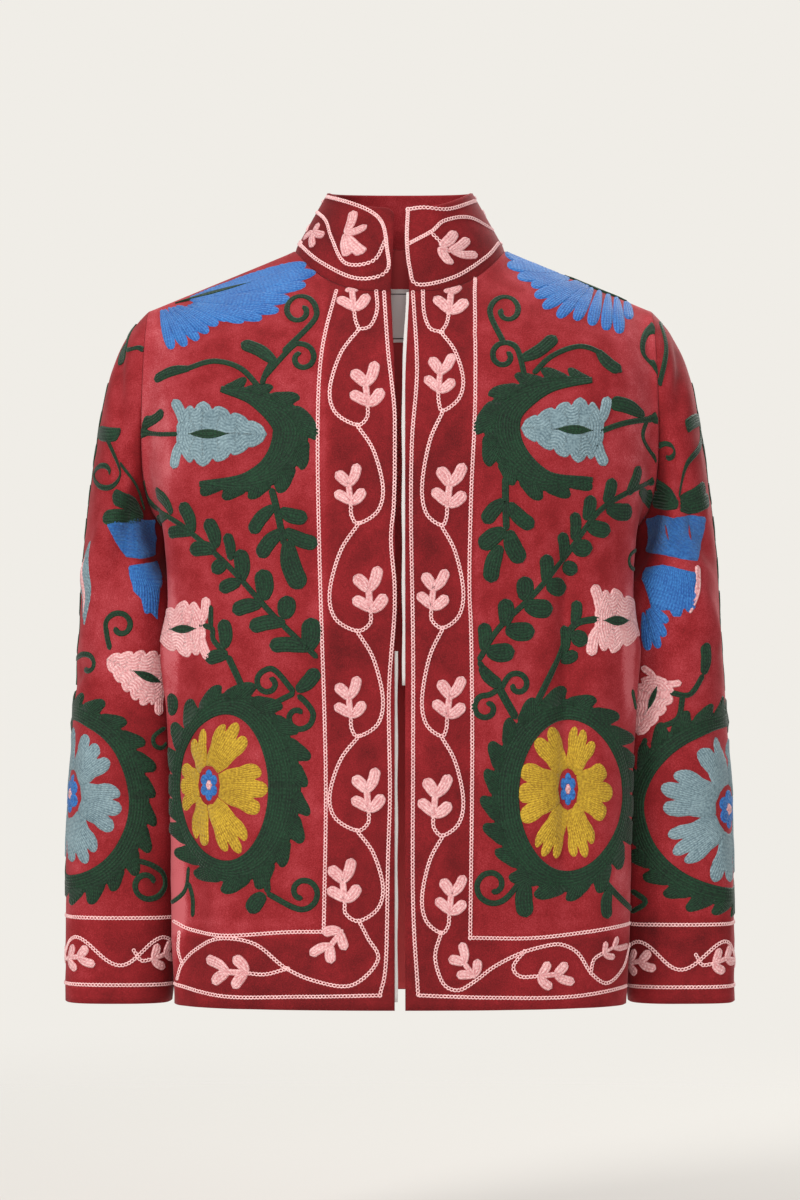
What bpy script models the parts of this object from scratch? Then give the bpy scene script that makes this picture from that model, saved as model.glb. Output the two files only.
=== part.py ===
"""Embroidered velvet jacket with a stand collar and an open front, in its worn form with no wearer.

Metres, +Z up. The front faces -Y and the wearer's left is +X. The origin is the middle of the
shoulders, level with the two points where the shoulder seams meet the collar.
"""

import math

import bpy
import numpy as np
from mathutils import Vector
from mathutils.bvhtree import BVHTree

# Cloth
CLOTH = 0.0024  # velvet, its backing and the embroidery ground together
SEAM = 0.0004  # gap left between two pieces along a seam

# Neck and shoulders
NECK_HALF = 0.094  # centre to the point where collar and shoulder seam meet
NECK_SEAM_Y = 0.004
FRONT_NECK_DROP = 0.038
FRONT_NECK_DEPTH = 0.084
BACK_NECK_RISE = 0.004
BACK_NECK_DEPTH = 0.072
SHOULDER_HALF = 0.2255
SHOULDER_DROP = 0.054

# Armhole
ARMHOLE_DEPTH = 0.265
ARMHOLE_FRONT = 0.068  # how far the armhole bows forward of its middle line
ARMHOLE_BACK = 0.076
ARMHOLE_HALF = 0.2300  # half width between the two armholes at their widest
ARMHOLE_SCOOP = 38.0  # degrees of the armhole that turn in under the arm

# Front edges
EDGE_HALF_GAP = 0.0046
EDGE_NECK_FLARE = 0.0038  # the edges part further at the neck
EDGE_FLARE_REACH = 0.045

# Collar
COLLAR_TOP_HALF = 0.0645
COLLAR_TOP = 0.052
COLLAR_FRONT_DIP = 0.016
COLLAR_TOP_FRONT = 0.066
COLLAR_TOP_BACK = 0.058
COLLAR_TOP_HALF_GAP = 0.0046
COLLAR_CORNER = 0.009  # radius of the rounded corner at the wearer's right

# Shape of a level cut through the body
SQUARE = 0.8  # 1 gives an ellipse, less gives a squarer section
SLEEVE_SQUARE = 0.70
SLEEVE_DEPTH_RATIO = 1.5  # depth of a sleeve's level cut against its width
SIDE_TURN = 95.0  # degrees round from the front middle to the side seam
TUCK_SPREAD = 25.0  # degrees of the hollow where the arm hangs

# Level cuts through the body, bottom to top. half_width is the widest half seen from the front.
BODY_COLUMNS = ("height", "half_width", "front", "back", "tuck")
BODY_SECTIONS = (
    (-0.670, 0.2005, 0.134, 0.120, 0.12),
    (-0.592, 0.2040, 0.131, 0.113, 0.17),
    (-0.513, 0.2050, 0.129, 0.108, 0.20),
    (-0.434, 0.2075, 0.130, 0.108, 0.23),
    (-0.355, 0.2130, 0.134, 0.114, 0.25),
    (-0.265, 0.2215, 0.138, 0.122, 0.255),
)

# Level cuts through a sleeve below the armhole, top to bottom
SLEEVE_COLUMNS = ("height", "inner", "outer", "front", "back")
SLEEVE_SECTIONS = (
    (-0.300, 0.2010, 0.2850, -0.058, 0.090),
    (-0.355, 0.1985, 0.2880, -0.058, 0.086),
    (-0.430, 0.1945, 0.2930, -0.056, 0.078),
    (-0.500, 0.1935, 0.2970, -0.053, 0.068),
    (-0.580, 0.1965, 0.2990, -0.048, 0.057),
    (-0.671, 0.2040, 0.2995, -0.043, 0.046),
)

# Outer line of the sleeve head, from the shoulder point down to the first level cut
HEAD_COLUMNS = ("half", "height")
SLEEVE_HEAD = (
    (0.2255, -0.054),
    (0.2390, -0.069),
    (0.2525, -0.091),
    (0.2610, -0.118),
    (0.2670, -0.148),
    (0.2725, -0.184),
    (0.2780, -0.224),
    (0.2825, -0.264),
)

# Soft folds of the body, seen from the front or the back. depth is outwards, and less than zero is a hollow.
FOLD_COLUMNS = ("panel", "top_x", "top_z", "low_x", "low_z", "width", "depth")
BODY_FOLDS = (
    ("front", -0.196, -0.340, -0.178, -0.640, 0.014, -0.0050),
    ("front", -0.165, -0.400, -0.150, -0.670, 0.020, 0.0035),
    ("front", -0.105, -0.420, -0.090, -0.670, 0.030, -0.0030),
    ("front", 0.146, -0.250, 0.146, -0.560, 0.012, -0.0050),
    ("front", 0.175, -0.330, 0.180, -0.650, 0.020, 0.0040),
    ("front", 0.095, -0.420, 0.085, -0.670, 0.028, -0.0030),
    ("front", -0.175, -0.110, -0.120, -0.230, 0.020, 0.0030),
    ("front", 0.175, -0.110, 0.120, -0.230, 0.020, 0.0030),
    ("back", -0.150, -0.200, -0.135, -0.640, 0.024, 0.0050),
    ("back", -0.105, -0.300, -0.095, -0.660, 0.022, -0.0045),
    ("back", 0.110, -0.280, 0.100, -0.660, 0.024, -0.0050),
    ("back", 0.155, -0.220, 0.150, -0.620, 0.022, 0.0045),
    ("back", 0.010, -0.420, 0.000, -0.670, 0.030, 0.0035),
)

# Soft folds of a sleeve. angle is in degrees round the sleeve from its outer line, towards the front.
CREASE_COLUMNS = ("side", "top_angle", "top_z", "low_angle", "low_z", "width", "depth")
SLEEVE_FOLDS = (
    ("right", 20.0, -0.085, 78.0, -0.165, 0.011, -0.0055),
    ("right", 96.0, -0.200, 40.0, -0.300, 0.013, 0.0050),
    ("right", 100.0, -0.235, 55.0, -0.345, 0.012, -0.0050),
    ("right", 85.0, -0.330, 20.0, -0.390, 0.014, -0.0040),
    ("right", 60.0, -0.440, 40.0, -0.560, 0.018, 0.0030),
    ("left", 12.0, -0.080, 74.0, -0.150, 0.011, -0.0055),
    ("left", 92.0, -0.190, 45.0, -0.280, 0.013, -0.0050),
    ("left", 98.0, -0.260, 40.0, -0.350, 0.014, 0.0045),
    ("left", 80.0, -0.400, 30.0, -0.450, 0.016, -0.0040),
    ("left", 60.0, -0.500, 50.0, -0.600, 0.018, 0.0030),
    ("both", -95.0, -0.230, -40.0, -0.320, 0.015, -0.0050),
    ("both", -70.0, -0.380, -20.0, -0.430, 0.016, 0.0040),
)

# Neck label inside the back
LABEL_WIDTH = 0.045
LABEL_LENGTH = 0.048
LABEL_TOP = -0.032
LABEL_THICK = 0.0010
LABEL_CLEARANCE = 0.0010
LABEL_ACROSS = 4
LABEL_DOWN = 4

# Grid
GIRTH_CELLS = 14  # from the front or back middle to the side seam
SKIRT_ROWS = 9  # hem to underarm
YOKE_ROWS = 12  # underarm to shoulder seam
NECK_ROWS = 6  # the last of them run along the neckline
HEAD_RINGS = 8
SLEEVE_ROWS = 10
COLLAR_ROWS = 4
FINE = 240  # points of a curve before it is spaced evenly
RELAX_ROUNDS = 12
LEAST_MITRE = 0.85  # keeps the corner of a sharp seam from growing long

MATERIALS = {
    "velvet": ((0.330, 0.022, 0.028), 0.85),
    "label": ((0.560, 0.545, 0.540), 0.60),
}


def column(rows, names, name, at, key="height"):
    """One column of a table at a height, on a smooth line through its rows."""
    table = sorted(rows, key=lambda row: row[names.index(key)])
    xs = np.array([row[names.index(key)] for row in table])
    ys = np.array([row[names.index(name)] for row in table])
    slopes = np.gradient(ys, xs)
    at = min(max(at, xs[0]), xs[-1])
    i = min(int(np.searchsorted(xs, at, side="right")) - 1, len(xs) - 2)
    span = xs[i + 1] - xs[i]
    t = (at - xs[i]) / span
    return float(
        ys[i] * (2 * t**3 - 3 * t**2 + 1)
        + ys[i + 1] * (3 * t**2 - 2 * t**3)
        + span * slopes[i] * (t**3 - 2 * t**2 + t)
        + span * slopes[i + 1] * (t**3 - t**2)
    )


def even(points, cells):
    """The same curve with its points spaced evenly along its length."""
    points = np.asarray(points, float)
    steps = np.linalg.norm(np.diff(points, axis=0), axis=1)
    walked = np.concatenate([[0.0], np.cumsum(steps)])
    stops = np.linspace(0.0, walked[-1], cells + 1)
    return np.stack([np.interp(stops, walked, points[:, k]) for k in range(3)], axis=1)


def edge_half_gap(height):
    """Half the gap between the two front edges."""
    reach = (height + FRONT_NECK_DROP) / EDGE_FLARE_REACH
    return EDGE_HALF_GAP + EDGE_NECK_FLARE * math.exp(-reach * reach)


def level_cut(height, start, stop):
    """The body's outline at a height between two turns in degrees: 0 is the front middle, 180 the back."""
    turn = np.radians(np.linspace(start, stop, FINE + 1))
    tuck = column(BODY_SECTIONS, BODY_COLUMNS, "tuck", height)

    def across(angle):
        hollow = np.exp(-(((np.degrees(angle) - SIDE_TURN) / TUCK_SPREAD) ** 2))
        return np.abs(np.sin(angle)) ** SQUARE - tuck * hollow

    widest = across(np.radians(np.linspace(0.0, 180.0, FINE + 1))).max()
    half = column(BODY_SECTIONS, BODY_COLUMNS, "half_width", height)
    front = column(BODY_SECTIONS, BODY_COLUMNS, "front", height)
    back = column(BODY_SECTIONS, BODY_COLUMNS, "back", height)
    cosine = np.cos(turn)
    depth = np.where(cosine > 0, front, back)
    x = np.maximum(across(turn) / widest * half, 0.0)
    y = -np.sign(cosine) * depth * np.abs(cosine) ** SQUARE
    return np.stack([x, y, np.full_like(x, height)], axis=1)


def half_row(height, is_front, cells):
    """One row of a half panel, from its middle or front edge to the side seam."""
    if is_front:
        cut = level_cut(height, 0.0, SIDE_TURN)
        gap = edge_half_gap(height)
        first = np.array([gap, cut[0, 1], height])
        cut = np.vstack([first, cut[cut[:, 0] > gap]])
    else:
        cut = level_cut(height, 180.0, SIDE_TURN)
        cut[0, 0] = 0.0
    return even(cut, cells)


def neck_point():
    """Where the shoulder seam meets the collar."""
    return np.array([NECK_HALF, NECK_SEAM_Y, 0.0])


def shoulder_point():
    """Where the shoulder seam meets the sleeve."""
    return np.array([SHOULDER_HALF, NECK_SEAM_Y, -SHOULDER_DROP])


def underarm_point():
    """Where the side seam meets the sleeve."""
    return level_cut(-ARMHOLE_DEPTH, SIDE_TURN, SIDE_TURN)[0]


def armhole(turn, forward):
    """A point of the armhole: turn 0 is the shoulder point and pi the underarm."""
    top, low = shoulder_point(), underarm_point()
    share = (1 + math.cos(turn)) / 2
    point = low + (top - low) * share
    side = math.sin(turn)
    point[1] += -ARMHOLE_FRONT * side if forward else ARMHOLE_BACK * side
    rise = 1 - math.exp(-((math.degrees(math.pi - turn) / ARMHOLE_SCOOP) ** 2))
    point[0] = low[0] + (ARMHOLE_HALF - low[0]) * rise + (top[0] - ARMHOLE_HALF) * share**4
    return point


def neckline(turn, is_front):
    """A point of the neckline: turn 0 is the front or back middle and pi/2 the neck point."""
    side = neck_point()
    sine, cosine = math.sin(turn), math.cos(turn)
    if is_front:
        gap = edge_half_gap(-FRONT_NECK_DROP)
        x = gap + (side[0] - gap) * sine
        y = side[1] + (-FRONT_NECK_DEPTH - side[1]) * cosine
        z = -FRONT_NECK_DROP * (1 - sine**3)
        return np.array([x, y, z])
    return np.array(
        [side[0] * sine, side[1] + (BACK_NECK_DEPTH - side[1]) * cosine, BACK_NECK_RISE * cosine]
    )


def middle_line(height, is_front):
    """A point of the front edge or of the middle of the back, above the underarm."""
    if is_front:
        share = (height + ARMHOLE_DEPTH) / (ARMHOLE_DEPTH - FRONT_NECK_DROP)
        chest = column(BODY_SECTIONS, BODY_COLUMNS, "front", -ARMHOLE_DEPTH)
        return np.array(
            [edge_half_gap(height), -chest + (chest - FRONT_NECK_DEPTH) * share**2, height]
        )
    share = (height + ARMHOLE_DEPTH) / (ARMHOLE_DEPTH + BACK_NECK_RISE)
    blade = column(BODY_SECTIONS, BODY_COLUMNS, "back", -ARMHOLE_DEPTH)
    bow = 0.012 * math.sin(math.pi * share)
    return np.array([0.0, blade + bow + (BACK_NECK_DEPTH - blade) * share**3, height])


def yoke(is_front, columns, rows, neck_rows):
    """The upper part of a half panel, filled in between its four edges."""
    bottom = half_row(-ARMHOLE_DEPTH, is_front, columns)
    top = even([neck_point(), shoulder_point()], columns)
    straight = rows - neck_rows
    neck_height = -FRONT_NECK_DROP if is_front else BACK_NECK_RISE
    heights = np.linspace(-ARMHOLE_DEPTH, neck_height, straight + 1)
    turns = np.linspace(0.0, math.pi / 2, neck_rows + 1)
    middle = [middle_line(z, is_front) for z in heights[:-1]]
    middle += [neckline(a, is_front) for a in turns]
    middle[0] = bottom[0]
    side = [armhole(math.pi * (1 - j / rows), is_front) for j in range(rows + 1)]
    side[0] = bottom[-1]
    middle, side = np.array(middle), np.array(side)
    s = np.linspace(0.0, 1.0, columns + 1)[None, :, None]
    t = np.linspace(0.0, 1.0, rows + 1)[:, None, None]
    patch = (1 - s) * middle[:, None] + s * side[:, None] + (1 - t) * bottom[None] + t * top[None]
    corners = (1 - s) * (1 - t) * bottom[0] + s * (1 - t) * bottom[-1]
    corners = corners + (1 - s) * t * top[0] + s * t * top[-1]
    return patch - corners


def relax(grid, first_row, spine_rows):
    """Evens out the inside of a grid above a row, with its edges held.

    The first spine_rows points of the first column are the middle of the back, and settle too.
    """
    for _ in range(RELAX_ROUNDS):
        mean = (grid[:-2, 1:-1] + grid[2:, 1:-1] + grid[1:-1, :-2] + grid[1:-1, 2:]) / 4
        spine = (grid[:-2, 0] + grid[2:, 0] + 2 * grid[1:-1, 1]) / 4
        inside = grid[1:-1, 1:-1]
        inside[first_row:] = 0.5 * inside[first_row:] + 0.5 * mean[first_row:]
        settled = slice(first_row, max(spine_rows - 1, first_row))
        grid[1:-1, 0, 1][settled] = 0.5 * grid[1:-1, 0, 1][settled] + 0.5 * spine[settled, 1]
    return grid


def half_panel(is_front, columns=GIRTH_CELLS, skirt=SKIRT_ROWS, rows=YOKE_ROWS, neck_rows=NECK_ROWS):
    """A half of the front or back as rows of points, hem first and side seam last in each row."""
    hem = BODY_SECTIONS[0][0]
    heights = np.linspace(hem, -ARMHOLE_DEPTH, skirt + 1)
    lower = np.array([half_row(z, is_front, columns) for z in heights[:-1]])
    grid = np.concatenate([lower, yoke(is_front, columns, rows, neck_rows)])
    return relax(grid, skirt - 2, 0 if is_front else skirt + rows - neck_rows)


def sleeve_outline(around):
    """A sleeve's level cut as evenly spaced points, each from -1 to 1 across and from back to front."""
    turn = np.linspace(0.0, math.pi, FINE + 1)
    across = np.sign(np.cos(turn)) * np.abs(np.cos(turn)) ** SLEEVE_SQUARE
    forward = np.abs(np.sin(turn)) ** SLEEVE_SQUARE
    half = even(np.stack([across, forward * SLEEVE_DEPTH_RATIO, 0 * turn], axis=1), around // 2)
    half[:, 1] /= SLEEVE_DEPTH_RATIO
    back = half[-2:0:-1] * np.array([1.0, -1.0, 1.0])
    return np.vstack([half, back])[:, :2]


def sleeve_rings(yoke_rows=YOKE_ROWS, head=HEAD_RINGS, rows=SLEEVE_ROWS):
    """The left sleeve as rings of points from the armhole to the cuff.

    A ring starts at the shoulder line, runs down the front to the underarm and comes up the back.
    """
    around = 2 * yoke_rows
    turns = 2 * math.pi * np.arange(around) / around
    round_cut = np.stack([np.cos(turns), np.sin(turns)], axis=1)
    square_cut = sleeve_outline(around)
    under = underarm_point()
    start = SLEEVE_SECTIONS[0][0]
    first = {name: column(SLEEVE_SECTIONS, SLEEVE_COLUMNS, name, start) for name in SLEEVE_COLUMNS}
    halves = np.array([row[0] for row in SLEEVE_HEAD] + [first["outer"]])
    heights = np.array([row[1] for row in SLEEVE_HEAD] + [start])
    walked = np.concatenate([[0.0], np.cumsum(np.hypot(np.diff(halves), np.diff(heights)))])
    rings = []
    for share in np.linspace(0.0, 1.0, head + 1):
        at = share * walked[-1]
        outer = np.array([np.interp(at, walked, halves), 0.0, np.interp(at, walked, heights)])
        out = 1 - (1 - share) ** 3
        inner = np.array(
            [under[0] + (first["inner"] - under[0]) * out, 0.0, under[2] + (start - under[2]) * share**1.5]
        )
        across = outer - inner
        normal = np.array([across[2], 0.0, -across[0]]) / np.linalg.norm(across)
        if share == 0.0:
            normal = np.array([1.0, 0.0, 0.0])
        middle_y = (first["front"] + first["back"]) / 2
        half_y = (first["back"] - first["front"]) / 2
        cut = round_cut * (1 - share) + square_cut * share
        ring = []
        for (over, forward), turn in zip(cut, turns):
            reach = (1 + over) / 2
            start_y = under[1] + (NECK_SEAM_Y - under[1]) * reach
            start_y -= (ARMHOLE_FRONT if forward > 0 else ARMHOLE_BACK) * forward
            y = start_y * (1 - share) + (middle_y - half_y * forward) * share
            turn = min(turn, 2 * math.pi - turn)
            bow = armhole(turn, forward > 0)[0] - under[0]
            bow -= (SHOULDER_HALF - under[0]) * (1 + math.cos(turn)) / 2
            ring.append(inner + across * reach + np.array([0.0, y, 0.0]) + normal * bow * (1 - share))
        rings.append(ring)
    for height in np.linspace(start, SLEEVE_SECTIONS[-1][0], rows + 1)[1:]:
        cut = {n: column(SLEEVE_SECTIONS, SLEEVE_COLUMNS, n, height) for n in SLEEVE_COLUMNS}
        x = cut["inner"] + (cut["outer"] - cut["inner"]) * (1 + square_cut[:, 0]) / 2
        y = (cut["front"] + cut["back"]) / 2 - (cut["back"] - cut["front"]) / 2 * square_cut[:, 1]
        rings.append(np.stack([x, y, np.full_like(x, height)], axis=1))
    return np.array(rings)


def collar_rows(neck_rows=NECK_ROWS, rows=COLLAR_ROWS):
    """The wearer's left half of the collar, neckline first, each row from the front to the middle back."""
    turns = np.linspace(0.0, math.pi / 2, neck_rows + 1)
    base = [neckline(a, True) for a in turns] + [neckline(a, False) for a in turns[::-1][1:]]
    top = []
    for a in np.linspace(0.0, math.pi, 2 * neck_rows + 1):
        sine, cosine = math.sin(a), math.cos(a)
        depth = COLLAR_TOP_FRONT if cosine > 0 else COLLAR_TOP_BACK
        gap = COLLAR_TOP_HALF_GAP if cosine > 0 else 0.0
        x = gap + (COLLAR_TOP_HALF - gap) * abs(sine) ** SQUARE
        z = COLLAR_TOP - COLLAR_FRONT_DIP * max(cosine, 0.0) ** 2
        top.append([x if a < math.pi else 0.0, NECK_SEAM_Y - (depth + NECK_SEAM_Y) * cosine, z])
    base, top = np.array(base), np.array(top)
    share = np.linspace(0.0, 1.0, rows + 1)[:, None, None]
    return base[None] * (1 - share) + top[None] * share


def mirrored(grid):
    """The same grid on the wearer's right."""
    return grid * np.array([-1.0, 1.0, 1.0])


def line_window(x, z, row):
    """How strongly a fold line acts on a point, and how far the point is from it, in a flat view."""
    _, top_x, top_z, low_x, low_z, width, _ = row
    share = (z - top_z) / (low_z - top_z)
    centre = top_x + (low_x - top_x) * share
    ends = np.clip(np.minimum(share + 0.15, 1.15 - share) / 0.30, 0.0, 1.0)
    return ends * ends * (3 - 2 * ends) * np.exp(-(((x - centre) / width) ** 2))


def fold_body(grid, normals, panel):
    """Moves a panel's points along their normals by its folds."""
    shift = np.zeros(grid.shape[:2])
    for row in BODY_FOLDS:
        if row[0] == panel:
            shift += row[-1] * line_window(grid[..., 0], grid[..., 2], row)
    return grid + normals * shift[..., None]


def fold_sleeve(rings, normals, side):
    """Moves a sleeve's points along their normals by its folds."""
    around = rings.shape[1]
    angles = np.degrees(2 * math.pi * np.arange(around) / around)
    angles = np.where(angles > 180.0, angles - 360.0, angles)
    radius = 0.055  # turns an angle into a distance round the sleeve
    across = np.radians(angles)[None, :] * radius + 0.0 * rings[..., 0]
    shift = np.zeros(rings.shape[:2])
    for name, top_angle, top_z, low_angle, low_z, width, depth in SLEEVE_FOLDS:
        if name in (side, "both"):
            row = (
                name,
                math.radians(top_angle) * radius,
                top_z,
                math.radians(low_angle) * radius,
                low_z,
                width,
                depth,
            )
            shift += depth * line_window(across, rings[..., 2], row)
    hold = np.clip(np.arange(len(rings)) / 2.0, 0.0, 1.0)
    return rings + normals * (shift * hold[:, None])[..., None]


def grid_quads(rows, columns, closed):
    """Corner numbers of each cell of a grid, in order round the cell."""
    quads = []
    for r in range(rows - 1):
        for c in range(columns if closed else columns - 1):
            d = (c + 1) % columns
            quads.append((r * columns + c, r * columns + d, (r + 1) * columns + d, (r + 1) * columns + c))
    return quads


def grid_normals(grid, closed, flip):
    """Smooth outward normals of a grid by itself."""
    if closed:
        around = np.roll(grid, -1, axis=1) - np.roll(grid, 1, axis=1)
    else:
        around = np.gradient(grid, axis=1)
    along = np.gradient(grid, axis=0)
    normals = np.cross(around, along)
    size = np.linalg.norm(normals, axis=2, keepdims=True)
    return normals / np.maximum(size, 1e-12) * (-1.0 if flip else 1.0)


def key_of(point):
    """A name for a place, so that pieces which share it can be matched."""
    return tuple(int(round(v * 1e5)) for v in point)


class Piece:
    """A cut piece of cloth: one or more grids of points on its outer face, joined where they share places."""

    def __init__(self, name, grids, closed=False):
        self.name = name
        self.quads = []
        numbers, points = {}, []
        for grid, flip in grids:
            rows, columns = grid.shape[:2]
            index = []
            for point in grid.reshape(-1, 3):
                key = key_of(point)
                if key not in numbers:
                    numbers[key] = len(points)
                    points.append(point)
                index.append(numbers[key])
            for quad in grid_quads(rows, columns, closed):
                quad = [index[i] for i in quad]
                self.quads.append(tuple(quad[::-1] if flip else quad))
        self.points = np.array(points)
        self.keys = [key_of(point) for point in points]

    def rim(self):
        """The open edges of the piece, each in the order of its cell."""
        found = {}
        for quad in self.quads:
            for edge in zip(quad, quad[1:] + quad[:1]):
                found[edge] = True
        return [edge for edge in found if edge[::-1] not in found]


def shared_normals(pieces):
    """Normals that halve the turn between the pieces at a seam, longer where the cloth turns a corner."""
    total, facets = {}, {}
    for piece in pieces:
        own = {}
        for quad in piece.quads:
            a, b, c, d = (piece.points[i] for i in quad)
            area = np.cross(c - a, d - b)
            for i in quad:
                key = piece.keys[i]
                own[key] = own.get(key, 0.0) + area
                facets.setdefault(key, []).append(area / np.linalg.norm(area))
        for key, area in own.items():
            total[key] = total.get(key, 0.0) + area / np.linalg.norm(area)
    found = {}
    for key, mean in total.items():
        normal = mean / np.linalg.norm(mean)
        least = min(float(normal @ facet) for facet in facets[key])
        found[key] = normal / max(least, LEAST_MITRE)
    return found


def seam_pull(piece, normals, seam_keys):
    """How far each point of a piece draws back from the seams it lies on."""
    pulls = {}
    for u, v in piece.rim():
        if piece.keys[u] in seam_keys and piece.keys[v] in seam_keys:
            outward = normals[piece.keys[u]] + normals[piece.keys[v]]
            inward = np.cross(outward, piece.points[v] - piece.points[u])
            inward = inward / np.linalg.norm(inward)
            pulls.setdefault(u, []).append(inward)
            pulls.setdefault(v, []).append(inward)
    shift = np.zeros_like(piece.points)
    for i, sides in pulls.items():
        mean = sum(sides) / len(sides)
        shift[i] = mean / max(mean @ mean, 0.5) * SEAM / 2
    return shift


def wall(piece, normals, seam_keys):
    """The closed wall of a piece: outer face, inner face one cloth thickness in, and rims."""
    count = len(piece.points)
    shift = seam_pull(piece, normals, seam_keys)
    outer = piece.points + shift
    inner = outer - CLOTH * np.array([normals[key] for key in piece.keys])
    faces = []
    for a, b, c, d in piece.quads:
        for triangle in ((a, b, c), (a, c, d)):
            faces.append(triangle)
            faces.append(tuple(count + i for i in triangle[::-1]))
    for u, v in piece.rim():
        if piece.keys[u] < piece.keys[v]:
            faces += [(v, u, count + u), (v, count + u, count + v)]
        else:
            faces += [(v, u, count + v), (u, count + u, count + v)]
    return np.vstack([outer, inner]), faces


def make_material(name):
    """A plain material for a piece."""
    colour, roughness = MATERIALS[name]
    material = bpy.data.materials.new(name)
    material.use_nodes = True
    shader = material.node_tree.nodes["Principled BSDF"]
    shader.inputs["Base Color"].default_value = (*colour, 1.0)
    shader.inputs["Roughness"].default_value = roughness
    return material


def make_object(name, points, faces, material):
    """An object from points and faces."""
    mesh = bpy.data.meshes.new(name)
    mesh.from_pydata([tuple(p) for p in points], [], faces)
    mesh.validate()
    mesh.materials.append(material)
    mesh.shade_smooth()
    mesh.set_sharp_from_angle(angle=math.radians(50))
    thing = bpy.data.objects.new(name, mesh)
    bpy.context.scene.collection.objects.link(thing)
    return thing


def round_collar_corner(grid):
    """Takes the upper front corner of the wearer's right collar half down to a round one."""
    reach = COLLAR_CORNER
    front, top = grid[:, 0].copy(), grid[-1].copy()
    for r in range(grid.shape[0]):
        for c in range(2):
            down = np.linalg.norm(front[-1] - grid[r, c])
            if down < reach:
                grid[r, c, 2] -= (reach - down) * 0.45
    grid[-1, 0, 0] += (top[1] - top[0])[0] * 0.22
    return grid


def body_and_sleeves():
    """All pieces of cloth as grids with their folds."""
    front = half_panel(True)
    back = half_panel(False)
    sleeve = sleeve_rings()
    collar = collar_rows()
    front_normals = grid_normals(front, False, False)
    back_normals = grid_normals(back, False, True)
    back_normals[:, 0, 0] = 0.0
    hold = np.ones(front.shape[:2])
    hold[:, -1] = hold[-1, :] = hold[:, 0] = 0.0
    hold[:, -2] = 0.6
    hold[:, 1] *= 0.7
    both_fronts = {}
    for name, grid, normals in (
        ("left", front, front_normals),
        ("right", mirrored(front), mirrored(front_normals)),
    ):
        both_fronts[name] = fold_body(grid, normals * hold[..., None], "front")
    back_hold = hold.copy()
    back_hold[1:, 0] = 1.0
    back_hold[-NECK_ROWS - 1 :, 0] = 0.0
    left_back = fold_body(back, back_normals * back_hold[..., None], "back")
    right_back = fold_body(mirrored(back), mirrored(back_normals) * back_hold[..., None], "back")
    right_collar = round_collar_corner(mirrored(collar))
    sleeve_normals = grid_normals(sleeve, True, False)
    left_sleeve = fold_sleeve(sleeve, sleeve_normals, "left")
    right_sleeve = fold_sleeve(mirrored(sleeve), mirrored(sleeve_normals), "right")
    return [
        Piece("left_front", [(both_fronts["left"], False)]),
        Piece("right_front", [(both_fronts["right"], True)]),
        Piece("back", [(left_back, True), (right_back, False)]),
        Piece("left_sleeve", [(left_sleeve, False)], closed=True),
        Piece("right_sleeve", [(right_sleeve, True)], closed=True),
        Piece("collar", [(collar, False), (right_collar, True)]),
    ]


def make_label(back, material):
    """The bare neck label, lying on the inner face of the back."""
    tree = BVHTree.FromPolygons(
        [vertex.co for vertex in back.data.vertices], [tuple(f.vertices) for f in back.data.polygons]
    )
    points = []
    for face in (0.0, LABEL_THICK):
        for down in range(LABEL_DOWN + 1):
            z = LABEL_TOP - LABEL_LENGTH * down / LABEL_DOWN
            for across in range(LABEL_ACROSS + 1):
                x = LABEL_WIDTH * (across / LABEL_ACROSS - 0.5)
                hit = tree.ray_cast(Vector((x, 0.0, z)), Vector((0.0, 1.0, 0.0)))[0]
                points.append([x, hit.y - LABEL_CLEARANCE - face, z])
    per_face = (LABEL_DOWN + 1) * (LABEL_ACROSS + 1)
    faces, edges = [], set()
    for a, b, c, d in grid_quads(LABEL_DOWN + 1, LABEL_ACROSS + 1, False):
        faces += [(a, b, c), (a, c, d)]
        faces += [(per_face + a, per_face + c, per_face + b), (per_face + a, per_face + d, per_face + c)]
        edges |= {(a, b), (b, c), (c, d), (d, a)}
    for u, v in edges:
        if (v, u) not in edges:
            faces += [(v, u, per_face + u), (v, per_face + u, per_face + v)]
    return make_object("neck_label", points, faces, material)


def main():
    for thing in list(bpy.data.objects):
        bpy.data.objects.remove(thing)
    velvet = make_material("velvet")
    pieces = body_and_sleeves()
    normals = shared_normals(pieces)
    owners = {}
    for piece in pieces:
        for key in piece.keys:
            owners.setdefault(key, set()).add(piece.name)
    seam_keys = {key for key, names in owners.items() if len(names) > 1}
    made = {}
    for piece in pieces:
        points, faces = wall(piece, normals, seam_keys)
        made[piece.name] = make_object(piece.name, points, faces, velvet)
    make_label(made["back"], make_material("label"))


main()
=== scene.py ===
"""Looks of the embroidered velvet jacket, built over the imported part.

Metres, +Z up. The front faces -Y and the wearer's left is +X. The cloth follows the part's own curves on
a finer grid, with the creases added. The embroidery is drawn on squared charts: a square is 0.88 mm, 400
is the front middle and 247 the height of the shoulders.
"""

import math

import bpy
import numpy as np
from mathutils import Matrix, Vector, kdtree, noise
from mathutils.bvhtree import BVHTree
from mathutils.geometry import delaunay_2d_cdt


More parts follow.
